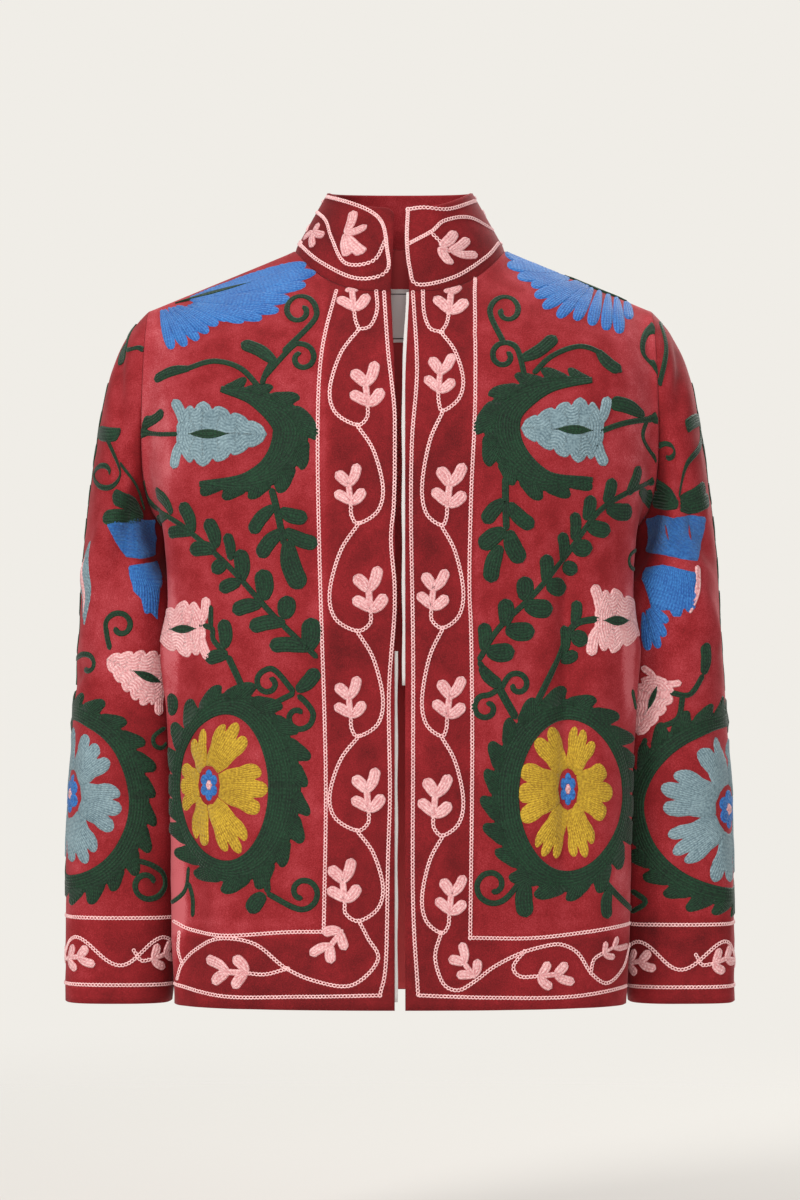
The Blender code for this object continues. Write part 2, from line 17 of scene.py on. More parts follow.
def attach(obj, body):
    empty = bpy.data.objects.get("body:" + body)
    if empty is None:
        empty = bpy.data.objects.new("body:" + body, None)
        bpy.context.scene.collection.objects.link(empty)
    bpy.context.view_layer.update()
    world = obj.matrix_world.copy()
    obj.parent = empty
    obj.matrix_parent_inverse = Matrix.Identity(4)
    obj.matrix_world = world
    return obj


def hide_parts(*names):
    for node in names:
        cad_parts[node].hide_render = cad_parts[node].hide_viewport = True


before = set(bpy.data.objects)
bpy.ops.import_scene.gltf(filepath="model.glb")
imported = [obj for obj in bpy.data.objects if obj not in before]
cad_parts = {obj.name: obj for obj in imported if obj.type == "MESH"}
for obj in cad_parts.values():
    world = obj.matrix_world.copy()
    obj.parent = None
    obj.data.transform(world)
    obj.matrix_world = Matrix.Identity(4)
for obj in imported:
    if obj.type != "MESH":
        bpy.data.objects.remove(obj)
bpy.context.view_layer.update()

# Cloth
CLOTH = 0.0024  # velvet, its backing and the embroidery ground together
SEAM = 0.0004  # gap left between two pieces along a seam
SEAM_DIP = 0.0009  # how far the cloth sinks into a seam
BESIDE_SEAM = 0.3  # share of that at the next points
EDGE_BULGE = 0.0008  # roundness of a folded edge

# Neck and shoulders
NECK_HALF = 0.094  # centre to the point where collar and shoulder seam meet
NECK_SEAM_Y = 0.004
FRONT_NECK_DROP = 0.038
FRONT_NECK_DEPTH = 0.084
BACK_NECK_RISE = 0.004
BACK_NECK_DEPTH = 0.072
BLADE_BOW = 0.012  # how far the back rounds over the shoulder blades
SHOULDER_HALF = 0.2255
SHOULDER_DROP = 0.054

# Armhole
ARMHOLE_DEPTH = 0.265
ARMHOLE_FRONT = 0.068  # how far the armhole bows forward of its middle line
ARMHOLE_BACK = 0.076
ARMHOLE_HALF = 0.2300  # half width between the two armholes at their widest
ARMHOLE_SCOOP = 38.0  # degrees of the armhole that turn in under the arm

# Front edges
EDGE_HALF_GAP = 0.0046
EDGE_NECK_FLARE = 0.0038  # the edges part further at the neck
EDGE_FLARE_REACH = 0.045

# Collar
COLLAR_TOP_HALF = 0.0645
COLLAR_TOP = 0.052
COLLAR_FRONT_DIP = 0.016
COLLAR_TOP_FRONT = 0.066
COLLAR_TOP_BACK = 0.058
COLLAR_TOP_HALF_GAP = 0.0046
COLLAR_CORNER = 0.009  # radius of the rounded corner at the wearer's right
CORNER_CELLS = 8  # cells over which that corner's directions are taken

# Shape of a level cut
SQUARE = 0.8  # 1 gives an ellipse, less gives a squarer section
SLEEVE_SQUARE = 0.70
SLEEVE_DEPTH_RATIO = 1.5  # depth of a sleeve's level cut against its width
SIDE_TURN = 95.0  # degrees round from the front middle to the side seam
TUCK_SPREAD = 25.0  # degrees of the hollow where the arm hangs

# Level cuts through the body, bottom to top. half_width is the widest half seen from the front.
BODY_COLUMNS = ("height", "half_width", "front", "back", "tuck")
BODY_SECTIONS = (
    (-0.670, 0.2005, 0.134, 0.120, 0.12),
    (-0.592, 0.2040, 0.131, 0.113, 0.17),
    (-0.513, 0.2050, 0.129, 0.108, 0.20),
    (-0.434, 0.2075, 0.130, 0.108, 0.23),
    (-0.355, 0.2130, 0.134, 0.114, 0.25),
    (-0.265, 0.2215, 0.138, 0.122, 0.255),
)

# Level cuts through a sleeve below the armhole, top to bottom
SLEEVE_COLUMNS = ("height", "inner", "outer", "front", "back")
SLEEVE_SECTIONS = (
    (-0.300, 0.2010, 0.2850, -0.058, 0.090),
    (-0.355, 0.1985, 0.2880, -0.058, 0.086),
    (-0.430, 0.1945, 0.2930, -0.056, 0.078),
    (-0.500, 0.1935, 0.2970, -0.053, 0.068),
    (-0.580, 0.1965, 0.2990, -0.048, 0.057),
    (-0.671, 0.2040, 0.2995, -0.043, 0.046),
)

# Outer line of the sleeve head, from the shoulder point down to the first level cut
SLEEVE_HEAD = (
    (0.2255, -0.054),
    (0.2390, -0.069),
    (0.2525, -0.091),
    (0.2610, -0.118),
    (0.2670, -0.148),
    (0.2725, -0.184),
    (0.2780, -0.224),
    (0.2825, -0.264),
)

# Folds of the body, seen from the front or the back: panel, top x and z, low x and z, width, depth.
# Depth is outwards, and less than zero is a hollow.
BODY_FOLDS = (
    ("front", -0.196, -0.340, -0.178, -0.640, 0.014, -0.0050),
    ("front", -0.165, -0.400, -0.150, -0.670, 0.020, 0.0035),
    ("front", -0.105, -0.420, -0.090, -0.670, 0.030, -0.0030),
    ("front", 0.146, -0.250, 0.146, -0.560, 0.012, -0.0050),
    ("front", 0.175, -0.330, 0.180, -0.650, 0.020, 0.0040),
    ("front", 0.095, -0.420, 0.085, -0.670, 0.028, -0.0030),
    ("front", -0.175, -0.110, -0.120, -0.230, 0.020, 0.0030),
    ("front", 0.175, -0.110, 0.120, -0.230, 0.020, 0.0030),
    ("back", -0.150, -0.200, -0.135, -0.640, 0.024, 0.0050),
    ("back", -0.105, -0.300, -0.095, -0.660, 0.022, -0.0045),
    ("back", 0.110, -0.280, 0.100, -0.660, 0.024, -0.0050),
    ("back", 0.155, -0.220, 0.150, -0.620, 0.022, 0.0045),
    ("back", 0.010, -0.420, 0.000, -0.670, 0.030, 0.0035),
    # narrow creases
    ("front", 0.1465, -0.265, 0.1455, -0.545, 0.0055, -0.0030),
    ("front", -0.201, -0.420, -0.190, -0.660, 0.007, -0.0025),
    ("front", -0.145, -0.085, -0.196, -0.150, 0.010, -0.0012),
    ("front", 0.150, -0.090, 0.200, -0.165, 0.010, -0.0012),
    ("front", -0.060, -0.060, -0.083, -0.200, 0.012, -0.0010),
    ("front", 0.064, -0.300, 0.060, -0.560, 0.016, -0.0010),
    ("back", 0.060, -0.060, 0.170, -0.150, 0.014, -0.0014),
    ("back", -0.070, -0.070, -0.165, -0.170, 0.012, -0.0016),
    ("back", -0.128, -0.380, -0.120, -0.600, 0.007, -0.0018),
)

# Folds of a sleeve: side, top angle and z, low angle and z, width, depth. An angle is in degrees round the
# sleeve from its outer line, towards the front.
SLEEVE_FOLDS = (
    ("right", 20.0, -0.085, 78.0, -0.165, 0.011, -0.0055),
    ("right", 96.0, -0.200, 40.0, -0.300, 0.013, 0.0050),
    ("right", 100.0, -0.235, 55.0, -0.345, 0.012, -0.0050),
    ("right", 85.0, -0.330, 20.0, -0.390, 0.014, -0.0040),
    ("right", 60.0, -0.440, 40.0, -0.560, 0.018, 0.0030),
    ("left", 12.0, -0.080, 74.0, -0.150, 0.011, -0.0055),
    ("left", 92.0, -0.190, 45.0, -0.280, 0.013, -0.0050),
    ("left", 98.0, -0.260, 40.0, -0.350, 0.014, 0.0045),
    ("left", 80.0, -0.400, 30.0, -0.450, 0.016, -0.0040),
    ("left", 60.0, -0.500, 50.0, -0.600, 0.018, 0.0030),
    ("both", -95.0, -0.230, -40.0, -0.320, 0.015, -0.0050),
    ("both", -70.0, -0.380, -20.0, -0.430, 0.016, 0.0040),
    # narrow creases
    ("right", 24.0, -0.092, 74.0, -0.148, 0.005, -0.0014),
    ("right", 70.0, -0.425, 35.0, -0.475, 0.008, -0.0018),
    ("left", 16.0, -0.086, 70.0, -0.138, 0.005, -0.0014),
    ("left", 92.0, -0.285, 62.0, -0.225, 0.006, -0.0016),
    ("both", -80.0, -0.300, -30.0, -0.350, 0.007, -0.0018),
)
FOLD_RADIUS = 0.055  # turns an angle into a distance round the sleeve
FOLD_END = 0.15  # share of a fold's length over which it fades, inside and past each end

# Rise and fall of velvet that stitching has drawn in: height, waves a metre, and a start in the noise
UNEVENNESS = ((0.0009, 28.0, 0.0), (0.0004, 75.0, 9.0))

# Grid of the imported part, and how many times finer each cell is here
GIRTH_CELLS = 14
SKIRT_ROWS = 9
YOKE_ROWS = 12
NECK_ROWS = 6
HEAD_RINGS = 8
SLEEVE_ROWS = 10
COLLAR_ROWS = 4
FINE = 240  # points of a curve before it is spaced evenly
RELAX_ROUNDS = 12
FINER = 6


def column(rows, names, name, at):
    """One column of a table at a height, on a smooth line through its rows."""
    table = sorted(rows)
    xs = np.array([row[0] for row in table])
    ys = np.array([row[names.index(name)] for row in table])
    slopes = np.gradient(ys, xs)
    at = min(max(at, xs[0]), xs[-1])
    i = min(int(np.searchsorted(xs, at, side="right")) - 1, len(xs) - 2)
    span = xs[i + 1] - xs[i]
    t = (at - xs[i]) / span
    return float(
        ys[i] * (2 * t**3 - 3 * t**2 + 1)
        + ys[i + 1] * (3 * t**2 - 2 * t**3)
        + span * slopes[i] * (t**3 - 2 * t**2 + t)
        + span * slopes[i + 1] * (t**3 - t**2)
    )


def walk(line):
    """How far along a line each of its points is."""
    return np.concatenate([[0.0], np.cumsum(np.linalg.norm(np.diff(line, axis=0), axis=1))])


def even(points, cells):
    """The same curve with its points spaced evenly along its length."""
    points = np.asarray(points, float)
    walked = walk(points)
    stops = np.linspace(0.0, walked[-1], cells + 1)
    return np.stack([np.interp(stops, walked, points[:, k]) for k in range(points.shape[1])], axis=1)


def edge_half_gap(height):
    """Half the gap between the two front edges."""
    reach = (height + FRONT_NECK_DROP) / EDGE_FLARE_REACH
    return EDGE_HALF_GAP + EDGE_NECK_FLARE * math.exp(-reach * reach)


def level_cut(height, start, stop):
    """The body's outline at a height between two turns in degrees: 0 is the front middle, 180 the back."""
    turn = np.radians(np.linspace(start, stop, FINE + 1))
    tuck = column(BODY_SECTIONS, BODY_COLUMNS, "tuck", height)

    def across(angle):
        hollow = np.exp(-(((np.degrees(angle) - SIDE_TURN) / TUCK_SPREAD) ** 2))
        return np.abs(np.sin(angle)) ** SQUARE - tuck * hollow

    widest = across(np.radians(np.linspace(0.0, 180.0, FINE + 1))).max()
    half = column(BODY_SECTIONS, BODY_COLUMNS, "half_width", height)
    front = column(BODY_SECTIONS, BODY_COLUMNS, "front", height)
    back = column(BODY_SECTIONS, BODY_COLUMNS, "back", height)
    cosine = np.cos(turn)
    depth = np.where(cosine > 0, front, back)
    x = np.maximum(across(turn) / widest * half, 0.0)
    y = -np.sign(cosine) * depth * np.abs(cosine) ** SQUARE
    return np.stack([x, y, np.full_like(x, height)], axis=1)


def half_row(height, is_front, cells):
    """One row of a half panel, from its middle or front edge to the side seam."""
    if is_front:
        cut = level_cut(height, 0.0, SIDE_TURN)
        gap = edge_half_gap(height)
        first = np.array([gap, cut[0, 1], height])
        cut = np.vstack([first, cut[cut[:, 0] > gap]])
    else:
        cut = level_cut(height, 180.0, SIDE_TURN)
        cut[0, 0] = 0.0
    return even(cut, cells)


def neck_point():
    """Where the shoulder seam meets the collar."""
    return np.array([NECK_HALF, NECK_SEAM_Y, 0.0])


def shoulder_point():
    """Where the shoulder seam meets the sleeve."""
    return np.array([SHOULDER_HALF, NECK_SEAM_Y, -SHOULDER_DROP])


def underarm_point():
    """Where the side seam meets the sleeve."""
    return level_cut(-ARMHOLE_DEPTH, SIDE_TURN, SIDE_TURN)[0]


def armhole(turn, forward):
    """A point of the armhole: turn 0 is the shoulder point and pi the underarm."""
    top, low = shoulder_point(), underarm_point()
    share = (1 + math.cos(turn)) / 2
    point = low + (top - low) * share
    side = math.sin(turn)
    point[1] += -ARMHOLE_FRONT * side if forward else ARMHOLE_BACK * side
    rise = 1 - math.exp(-((math.degrees(math.pi - turn) / ARMHOLE_SCOOP) ** 2))
    point[0] = low[0] + (ARMHOLE_HALF - low[0]) * rise + (top[0] - ARMHOLE_HALF) * share**4
    return point


def neckline(turn, is_front):
    """A point of the neckline: turn 0 is the front or back middle and pi/2 the neck point."""
    side = neck_point()
    sine, cosine = math.sin(turn), math.cos(turn)
    if is_front:
        gap = edge_half_gap(-FRONT_NECK_DROP)
        x = gap + (side[0] - gap) * sine
        y = side[1] + (-FRONT_NECK_DEPTH - side[1]) * cosine
        return np.array([x, y, -FRONT_NECK_DROP * (1 - sine**3)])
    return np.array(
        [side[0] * sine, side[1] + (BACK_NECK_DEPTH - side[1]) * cosine, BACK_NECK_RISE * cosine]
    )


def middle_line(height, is_front):
    """A point of the front edge or of the middle of the back, above the underarm."""
    if is_front:
        share = (height + ARMHOLE_DEPTH) / (ARMHOLE_DEPTH - FRONT_NECK_DROP)
        chest = column(BODY_SECTIONS, BODY_COLUMNS, "front", -ARMHOLE_DEPTH)
        y = -chest + (chest - FRONT_NECK_DEPTH) * share**2
        return np.array([edge_half_gap(height), y, height])
    share = (height + ARMHOLE_DEPTH) / (ARMHOLE_DEPTH + BACK_NECK_RISE)
    blade = column(BODY_SECTIONS, BODY_COLUMNS, "back", -ARMHOLE_DEPTH)
    bow = BLADE_BOW * math.sin(math.pi * share)
    return np.array([0.0, blade + bow + (BACK_NECK_DEPTH - blade) * share**3, height])


def yoke(is_front):
    """The upper part of a half panel, filled in between its four edges."""
    bottom = half_row(-ARMHOLE_DEPTH, is_front, GIRTH_CELLS)
    top = even([neck_point(), shoulder_point()], GIRTH_CELLS)
    straight = YOKE_ROWS - NECK_ROWS
    neck_height = -FRONT_NECK_DROP if is_front else BACK_NECK_RISE
    heights = np.linspace(-ARMHOLE_DEPTH, neck_height, straight + 1)
    middle = [middle_line(z, is_front) for z in heights[:-1]]
    middle += [neckline(a, is_front) for a in np.linspace(0.0, math.pi / 2, NECK_ROWS + 1)]
    middle[0] = bottom[0]
    side = [armhole(math.pi * (1 - j / YOKE_ROWS), is_front) for j in range(YOKE_ROWS + 1)]
    side[0] = bottom[-1]
    middle, side = np.array(middle), np.array(side)
    s = np.linspace(0.0, 1.0, GIRTH_CELLS + 1)[None, :, None]
    t = np.linspace(0.0, 1.0, YOKE_ROWS + 1)[:, None, None]
    patch = (1 - s) * middle[:, None] + s * side[:, None] + (1 - t) * bottom[None] + t * top[None]
    corners = (1 - s) * (1 - t) * bottom[0] + s * (1 - t) * bottom[-1]
    return patch - corners - (1 - s) * t * top[0] - s * t * top[-1]


def relax(grid, first_row, spine_rows):
    """Evens out the inside of a grid above a row, with its edges held but for the middle of the back."""
    for _ in range(RELAX_ROUNDS):
        mean = (grid[:-2, 1:-1] + grid[2:, 1:-1] + grid[1:-1, :-2] + grid[1:-1, 2:]) / 4
        spine = (grid[:-2, 0] + grid[2:, 0] + 2 * grid[1:-1, 1]) / 4
        inside = grid[1:-1, 1:-1]
        inside[first_row:] = 0.5 * inside[first_row:] + 0.5 * mean[first_row:]
        settled = slice(first_row, max(spine_rows - 1, first_row))
        grid[1:-1, 0, 1][settled] = 0.5 * grid[1:-1, 0, 1][settled] + 0.5 * spine[settled, 1]
    return grid


def half_panel(is_front):
    """A half of the front or back as rows of points, hem first and side seam last in each row."""
    heights = np.linspace(BODY_SECTIONS[0][0], -ARMHOLE_DEPTH, SKIRT_ROWS + 1)
    lower = np.array([half_row(z, is_front, GIRTH_CELLS) for z in heights[:-1]])
    grid = np.concatenate([lower, yoke(is_front)])
    return relax(grid, SKIRT_ROWS - 2, 0 if is_front else SKIRT_ROWS + YOKE_ROWS - NECK_ROWS)


def sleeve_outline(around):
    """A sleeve's level cut as evenly spaced points, each from -1 to 1 across and from back to front."""
    turn = np.linspace(0.0, math.pi, FINE + 1)
    across = np.sign(np.cos(turn)) * np.abs(np.cos(turn)) ** SLEEVE_SQUARE
    forward = np.abs(np.sin(turn)) ** SLEEVE_SQUARE
    half = even(np.stack([across, forward * SLEEVE_DEPTH_RATIO], axis=1), around // 2)
    half[:, 1] /= SLEEVE_DEPTH_RATIO
    back = half[-2:0:-1] * np.array([1.0, -1.0])
    return np.vstack([half, back])


def sleeve_rings():
    """The left sleeve as rings of points from the armhole to the cuff.

    A ring starts at the shoulder line, runs down the front to the underarm and comes up the back.
    """
    around = 2 * YOKE_ROWS
    turns = 2 * math.pi * np.arange(around) / around
    round_cut = np.stack([np.cos(turns), np.sin(turns)], axis=1)
    square_cut = sleeve_outline(around)
    under = underarm_point()
    start = SLEEVE_SECTIONS[0][0]
    first = {name: column(SLEEVE_SECTIONS, SLEEVE_COLUMNS, name, start) for name in SLEEVE_COLUMNS}
    halves = np.array([row[0] for row in SLEEVE_HEAD] + [first["outer"]])
    heights = np.array([row[1] for row in SLEEVE_HEAD] + [start])
    walked = np.concatenate([[0.0], np.cumsum(np.hypot(np.diff(halves), np.diff(heights)))])
    middle_y = (first["front"] + first["back"]) / 2
    half_y = (first["back"] - first["front"]) / 2
    rings = []
    for share in np.linspace(0.0, 1.0, HEAD_RINGS + 1):
        at = share * walked[-1]
        outer = np.array([np.interp(at, walked, halves), 0.0, np.interp(at, walked, heights)])
        out = 1 - (1 - share) ** 3
        inner_x = under[0] + (first["inner"] - under[0]) * out
        inner = np.array([inner_x, 0.0, under[2] + (start - under[2]) * share**1.5])
        across = outer - inner
        normal = np.array([across[2], 0.0, -across[0]]) / np.linalg.norm(across)
        if share == 0.0:
            normal = np.array([1.0, 0.0, 0.0])
        cut = round_cut * (1 - share) + square_cut * share
        ring = []
        for (over, forward), turn in zip(cut, turns):
            reach = (1 + over) / 2
            start_y = under[1] + (NECK_SEAM_Y - under[1]) * reach
            start_y -= (ARMHOLE_FRONT if forward > 0 else ARMHOLE_BACK) * forward
            y = start_y * (1 - share) + (middle_y - half_y * forward) * share
            turn = min(turn, 2 * math.pi - turn)
            bow = armhole(turn, forward > 0)[0] - under[0]
            bow -= (SHOULDER_HALF - under[0]) * (1 + math.cos(turn)) / 2
            ring.append(inner + across * reach + np.array([0.0, y, 0.0]) + normal * bow * (1 - share))
        rings.append(ring)
    for height in np.linspace(start, SLEEVE_SECTIONS[-1][0], SLEEVE_ROWS + 1)[1:]:
        cut = {n: column(SLEEVE_SECTIONS, SLEEVE_COLUMNS, n, height) for n in SLEEVE_COLUMNS}
        x = cut["inner"] + (cut["outer"] - cut["inner"]) * (1 + square_cut[:, 0]) / 2
        y = (cut["front"] + cut["back"]) / 2 - (cut["back"] - cut["front"]) / 2 * square_cut[:, 1]
        rings.append(np.stack([x, y, np.full_like(x, height)], axis=1))
    return np.array(rings)


def collar_half():
    """The wearer's left half of the collar, neckline first, each row from the front to the middle back."""
    turns = np.linspace(0.0, math.pi / 2, NECK_ROWS + 1)
    base = [neckline(a, True) for a in turns] + [neckline(a, False) for a in turns[::-1][1:]]
    top = []
    for a in np.linspace(0.0, math.pi, 2 * NECK_ROWS + 1):
        sine, cosine = math.sin(a), math.cos(a)
        depth = COLLAR_TOP_FRONT if cosine > 0 else COLLAR_TOP_BACK
        gap = COLLAR_TOP_HALF_GAP if cosine > 0 else 0.0
        x = gap + (COLLAR_TOP_HALF - gap) * abs(sine) ** SQUARE
        z = COLLAR_TOP - COLLAR_FRONT_DIP * max(cosine, 0.0) ** 2
        top.append([x if a < math.pi else 0.0, NECK_SEAM_Y - (depth + NECK_SEAM_Y) * cosine, z])
    share = np.linspace(0.0, 1.0, COLLAR_ROWS + 1)[:, None, None]
    return np.array(base)[None] * (1 - share) + np.array(top)[None] * share


def mirrored(grid):
    """The same grid on the wearer's right."""
    return grid * np.array([-1.0, 1.0, 1.0])


def spline(points, times, closed=False, before=None):
    """Points on a smooth curve through others, so many times as close along the first axis."""
    points = np.asarray(points, float)
    if closed:
        padded = np.concatenate([points[-1:], points, points[:2]])
    else:
        first = 2 * points[:1] - points[1:2] if before is None else before[None]
        padded = np.concatenate([first, points, 2 * points[-1:] - points[-2:-1]])
    count = len(points) if closed else len(points) - 1
    a, b, c, d = (padded[i : i + count] for i in range(4))
    parts = []
    for t in np.arange(times) / times:
        curve = 2 * b + (c - a) * t + (2 * a - 5 * b + 4 * c - d) * t**2
        parts.append(0.5 * (curve + (3 * b - a - 3 * c + d) * t**3))
    fine = np.stack(parts, axis=1).reshape(count * times, *points.shape[1:])
    return fine if closed else np.concatenate([fine, points[-1:]])


def with_corner(points, corner):
    """A smooth line that turns sharply at one of its points."""
    return np.concatenate([spline(points[: corner + 1], FINER), spline(points[corner:], FINER)[1:]])


def ease_to(grid, line):
    """Moves the first row of a grid to a line, and the rows next to it by less."""
    pull = (1 - np.arange(FINER) / FINER) ** 2
    grid[:FINER] += pull[:, None, None] * (line - grid[0])[None]


def fine_panel(is_front):
    """A half panel on the fine grid, with its neck and underarm corners kept."""
    coarse = half_panel(is_front)
    nape = SKIRT_ROWS + YOKE_ROWS - NECK_ROWS
    tall = spline(coarse, FINER)
    before = 2 * tall[:, 0] - tall[:, 1]
    if not is_front:
        spine = nape * FINER + 1
        before[:spine] = mirrored(tall[:spine, 1])
    wide = spline(tall.transpose(1, 0, 2), FINER, before=before)
    ease_to(wide, with_corner(coarse[:, 0], nape))
    ease_to(wide[::-1], with_corner(coarse[:, -1], SKIRT_ROWS))
    return wide.transpose(1, 0, 2).copy()


def fine_sleeve(front, back):
    """The left sleeve on the fine grid, its first ring on the armhole edges of the two panels."""
    rings = spline(sleeve_rings(), FINER)
    rings = spline(rings.transpose(1, 0, 2), FINER, closed=True).transpose(1, 0, 2).copy()
    start = SKIRT_ROWS * FINER
    ease_to(rings, np.concatenate([front[start:, -1][::-1], back[start:, -1][1:-1]]))
    return rings


def fine_collar(front, back):
    """The whole collar on the fine grid, from the wearer's left front edge round to the right."""
    half = collar_half()
    rows = spline(np.concatenate([half, mirrored(half)[:, -2::-1]], axis=1), FINER)
    rows = spline(rows.transpose(1, 0, 2), FINER).transpose(1, 0, 2).copy()
    start = (SKIRT_ROWS + YOKE_ROWS - NECK_ROWS) * FINER
    left = np.concatenate([front[start:, 0], back[start:, 0][::-1][1:]])
    ease_to(rows, np.concatenate([left, mirrored(left)[-2::-1]]))
    corner = rows[::-1, ::-1]  # row 0 is now the top and column 0 the wearer's right front edge
    across = np.linalg.norm(corner - corner[:, :1], axis=2)
    down = np.linalg.norm(corner - corner[:1], axis=2)
    over_x = np.clip(COLLAR_CORNER - across, 0.0, None)
    over_y = np.clip(COLLAR_CORNER - down, 0.0, None)
    far = np.maximum(np.hypot(over_x, over_y), 1e-9)
    shrink = 1 - np.maximum(over_x, over_y) / far
    inward = corner[:, CORNER_CELLS : CORNER_CELLS + 1] - corner[:, :1]
    downward = corner[CORNER_CELLS : CORNER_CELLS + 1] - corner[:1]
    corner += unit(inward) * (over_x * shrink)[..., None] + unit(downward) * (over_y * shrink)[..., None]
    return rows


def window(x, z, row):
    """How strongly a fold acts on a point in a flat view."""
    _, top_x, top_z, low_x, low_z, width, _ = row
    share = (z - top_z) / (low_z - top_z)
    centre = top_x + (low_x - top_x) * share
    ends = np.clip(np.minimum(share + FOLD_END, 1 + FOLD_END - share) / (2 * FOLD_END), 0.0, 1.0)
    return ends * ends * (3 - 2 * ends) * np.exp(-(((x - centre) / width) ** 2))


def ripple(points, scale, seed):
    """Smooth noise at each point, from about -1 to 1."""
    shape = points.shape[:-1]
    flat = points.reshape(-1, 3) * scale
    return np.array([noise.noise(Vector(p) + Vector((seed, 0.0, 0.0))) for p in flat]).reshape(shape)


def unevenness(points):
    """Small rise and fall of the velvet at each point."""
    return sum(height * ripple(points, scale, seed) for height, scale, seed in UNEVENNESS)


def grid_cells(index):
    """The four corners of each cell of a grid of point numbers."""
    return np.stack([index[:-1, :-1], index[:-1, 1:], index[1:, 1:], index[1:, :-1]], axis=-1).reshape(-1, 4)


def halved(cells):
    """Cells of four corners as pairs of triangles."""
    return np.concatenate([cells[:, [0, 1, 2]], cells[:, [0, 2, 3]]])


def unit(vectors):
    """The same directions with length 1."""
    return vectors / np.maximum(np.linalg.norm(vectors, axis=-1, keepdims=True), 1e-12)


def grid_normals(grid, closed, flip):
    """Smooth outward normals of a grid by itself."""
    around = np.roll(grid, -1, axis=1) - np.roll(grid, 1, axis=1) if closed else np.gradient(grid, axis=1)
    return unit(np.cross(around, np.gradient(grid, axis=0))) * (-1.0 if flip else 1.0)


def hold(cells, near_start, near_end):
    """How freely each row or column of a grid moves: seams and edges stay where they are."""
    at = np.arange(cells) / FINER
    return np.interp(at, (0, 1, 2), near_start) * np.interp(at[::-1], (0, 1, 2), near_end)


def fold_panel(grid, normals, panel, spine=0):
    """Moves a panel's points along their normals by its folds and unevenness."""
    across = hold(grid.shape[1], (0.0, 0.7, 1.0), (0.0, 0.6, 1.0))
    along = hold(grid.shape[0], (1.0, 1.0, 1.0), (0.0, 1.0, 1.0))
    free = along[:, None] * across[None]
    if spine:
        free[:spine] = along[:spine, None] * hold(grid.shape[1], (1, 1, 1), (0.0, 0.6, 1.0))[None]
        normals = normals.copy()
        normals[:spine, 0, 0] = 0.0
        blend = np.clip((spine - np.arange(grid.shape[0])) / FINER, 0.0, 1.0)[:, None]
        free = free * blend + along[:, None] * across[None] * (1 - blend)
    shift = unevenness(grid)
    for row in BODY_FOLDS:
        if row[0] == panel:
            shift += row[-1] * window(grid[..., 0], grid[..., 2], row)
    return grid + normals * (shift * free)[..., None]


def fold_sleeve(rings, normals, side):
    """Moves a sleeve's points along their normals by its folds and unevenness."""
    around = rings.shape[1]
    angles = np.degrees(2 * math.pi * np.arange(around) / around)
    angles = np.where(angles > 180.0, angles - 360.0, angles)
    across = np.radians(angles)[None, :] * FOLD_RADIUS + 0.0 * rings[..., 0]
    shift = unevenness(rings)
    for name, top_angle, top_z, low_angle, low_z, width, depth in SLEEVE_FOLDS:
        if name in (side, "both"):
            top, low = math.radians(top_angle) * FOLD_RADIUS, math.radians(low_angle) * FOLD_RADIUS
            shift += depth * window(across, rings[..., 2], (name, top, top_z, low, low_z, width, depth))
    free = hold(len(rings), (0.0, 0.5, 1.0), (1.0, 1.0, 1.0))
    return rings + normals * (shift * free[:, None])[..., None]


class Cut:
    """A cut piece of cloth: one or two grids of points on its outer face, joined where they share places."""

    def __init__(self, name, grids, closed=False):
        self.name, self.closed, self.grids = name, closed, [grid for grid, _ in grids]
        points = np.concatenate([grid.reshape(-1, 3) for grid, _ in grids])
        keys = np.round(points * 1e5).astype(int)
        _, first, inverse = np.unique(keys, axis=0, return_index=True, return_inverse=True)
        self.points = points[first]
        self.keys = keys[first]
        inverse = inverse.reshape(-1)
        self.numbers, quads, start = [], [], 0
        for grid, flip in grids:
            rows, columns = grid.shape[:2]
            index = inverse[start : start + rows * columns].reshape(rows, columns)
            start += rows * columns
            self.numbers.append(index)
            if closed:
                index = np.concatenate([index, index[:, :1]], axis=1)
            cells = grid_cells(index)
            quads.append(cells[:, ::-1] if flip else cells)
        self.quads = np.concatenate(quads)
        edges = np.concatenate([self.quads[:, [i, (i + 1) % 4]] for i in range(4)])
        known = {tuple(edge) for edge in edges.tolist()}
        self.rim = np.array([edge for edge in edges.tolist() if (edge[1], edge[0]) not in known])


def share_normals(cuts):
    """Gives each cut normals that are the same on both sides of a seam, and says which points lie on one."""
    keys = np.concatenate([cut.keys for cut in cuts])
    _, inverse = np.unique(keys, axis=0, return_inverse=True)
    inverse = inverse.reshape(-1)
    total = np.zeros((inverse.max() + 1, 3))
    owners = np.zeros(inverse.max() + 1, int)
    start = 0
    for cut in cuts:
        own = inverse[start : start + len(cut.points)]
        start += len(cut.points)
        cut.shared = own
        owners[own] += 1
        a, b, c, d = (cut.points[cut.quads[:, i]] for i in range(4))
        area = np.cross(c - a, d - b)
        for i in range(4):
            np.add.at(total, own[cut.quads[:, i]], area)
    total = unit(total)
    for cut in cuts:
        cut.normals = total[cut.shared]
        cut.on_seam = owners[cut.shared] > 1


def sink_seams(cut):
    """Lowers the cloth along its seams, and beside them by a share of it."""
    dip = np.where(cut.on_seam, 1.0, 0.0)
    near = np.zeros(len(cut.points))
    for i in range(4):
        a, b = cut.quads[:, i], cut.quads[:, (i + 1) % 4]
        np.maximum.at(near, a, dip[b] * BESIDE_SEAM)
        np.maximum.at(near, b, dip[a] * BESIDE_SEAM)
    cut.points = cut.points - cut.normals * (SEAM_DIP * np.maximum(dip, near))[:, None]


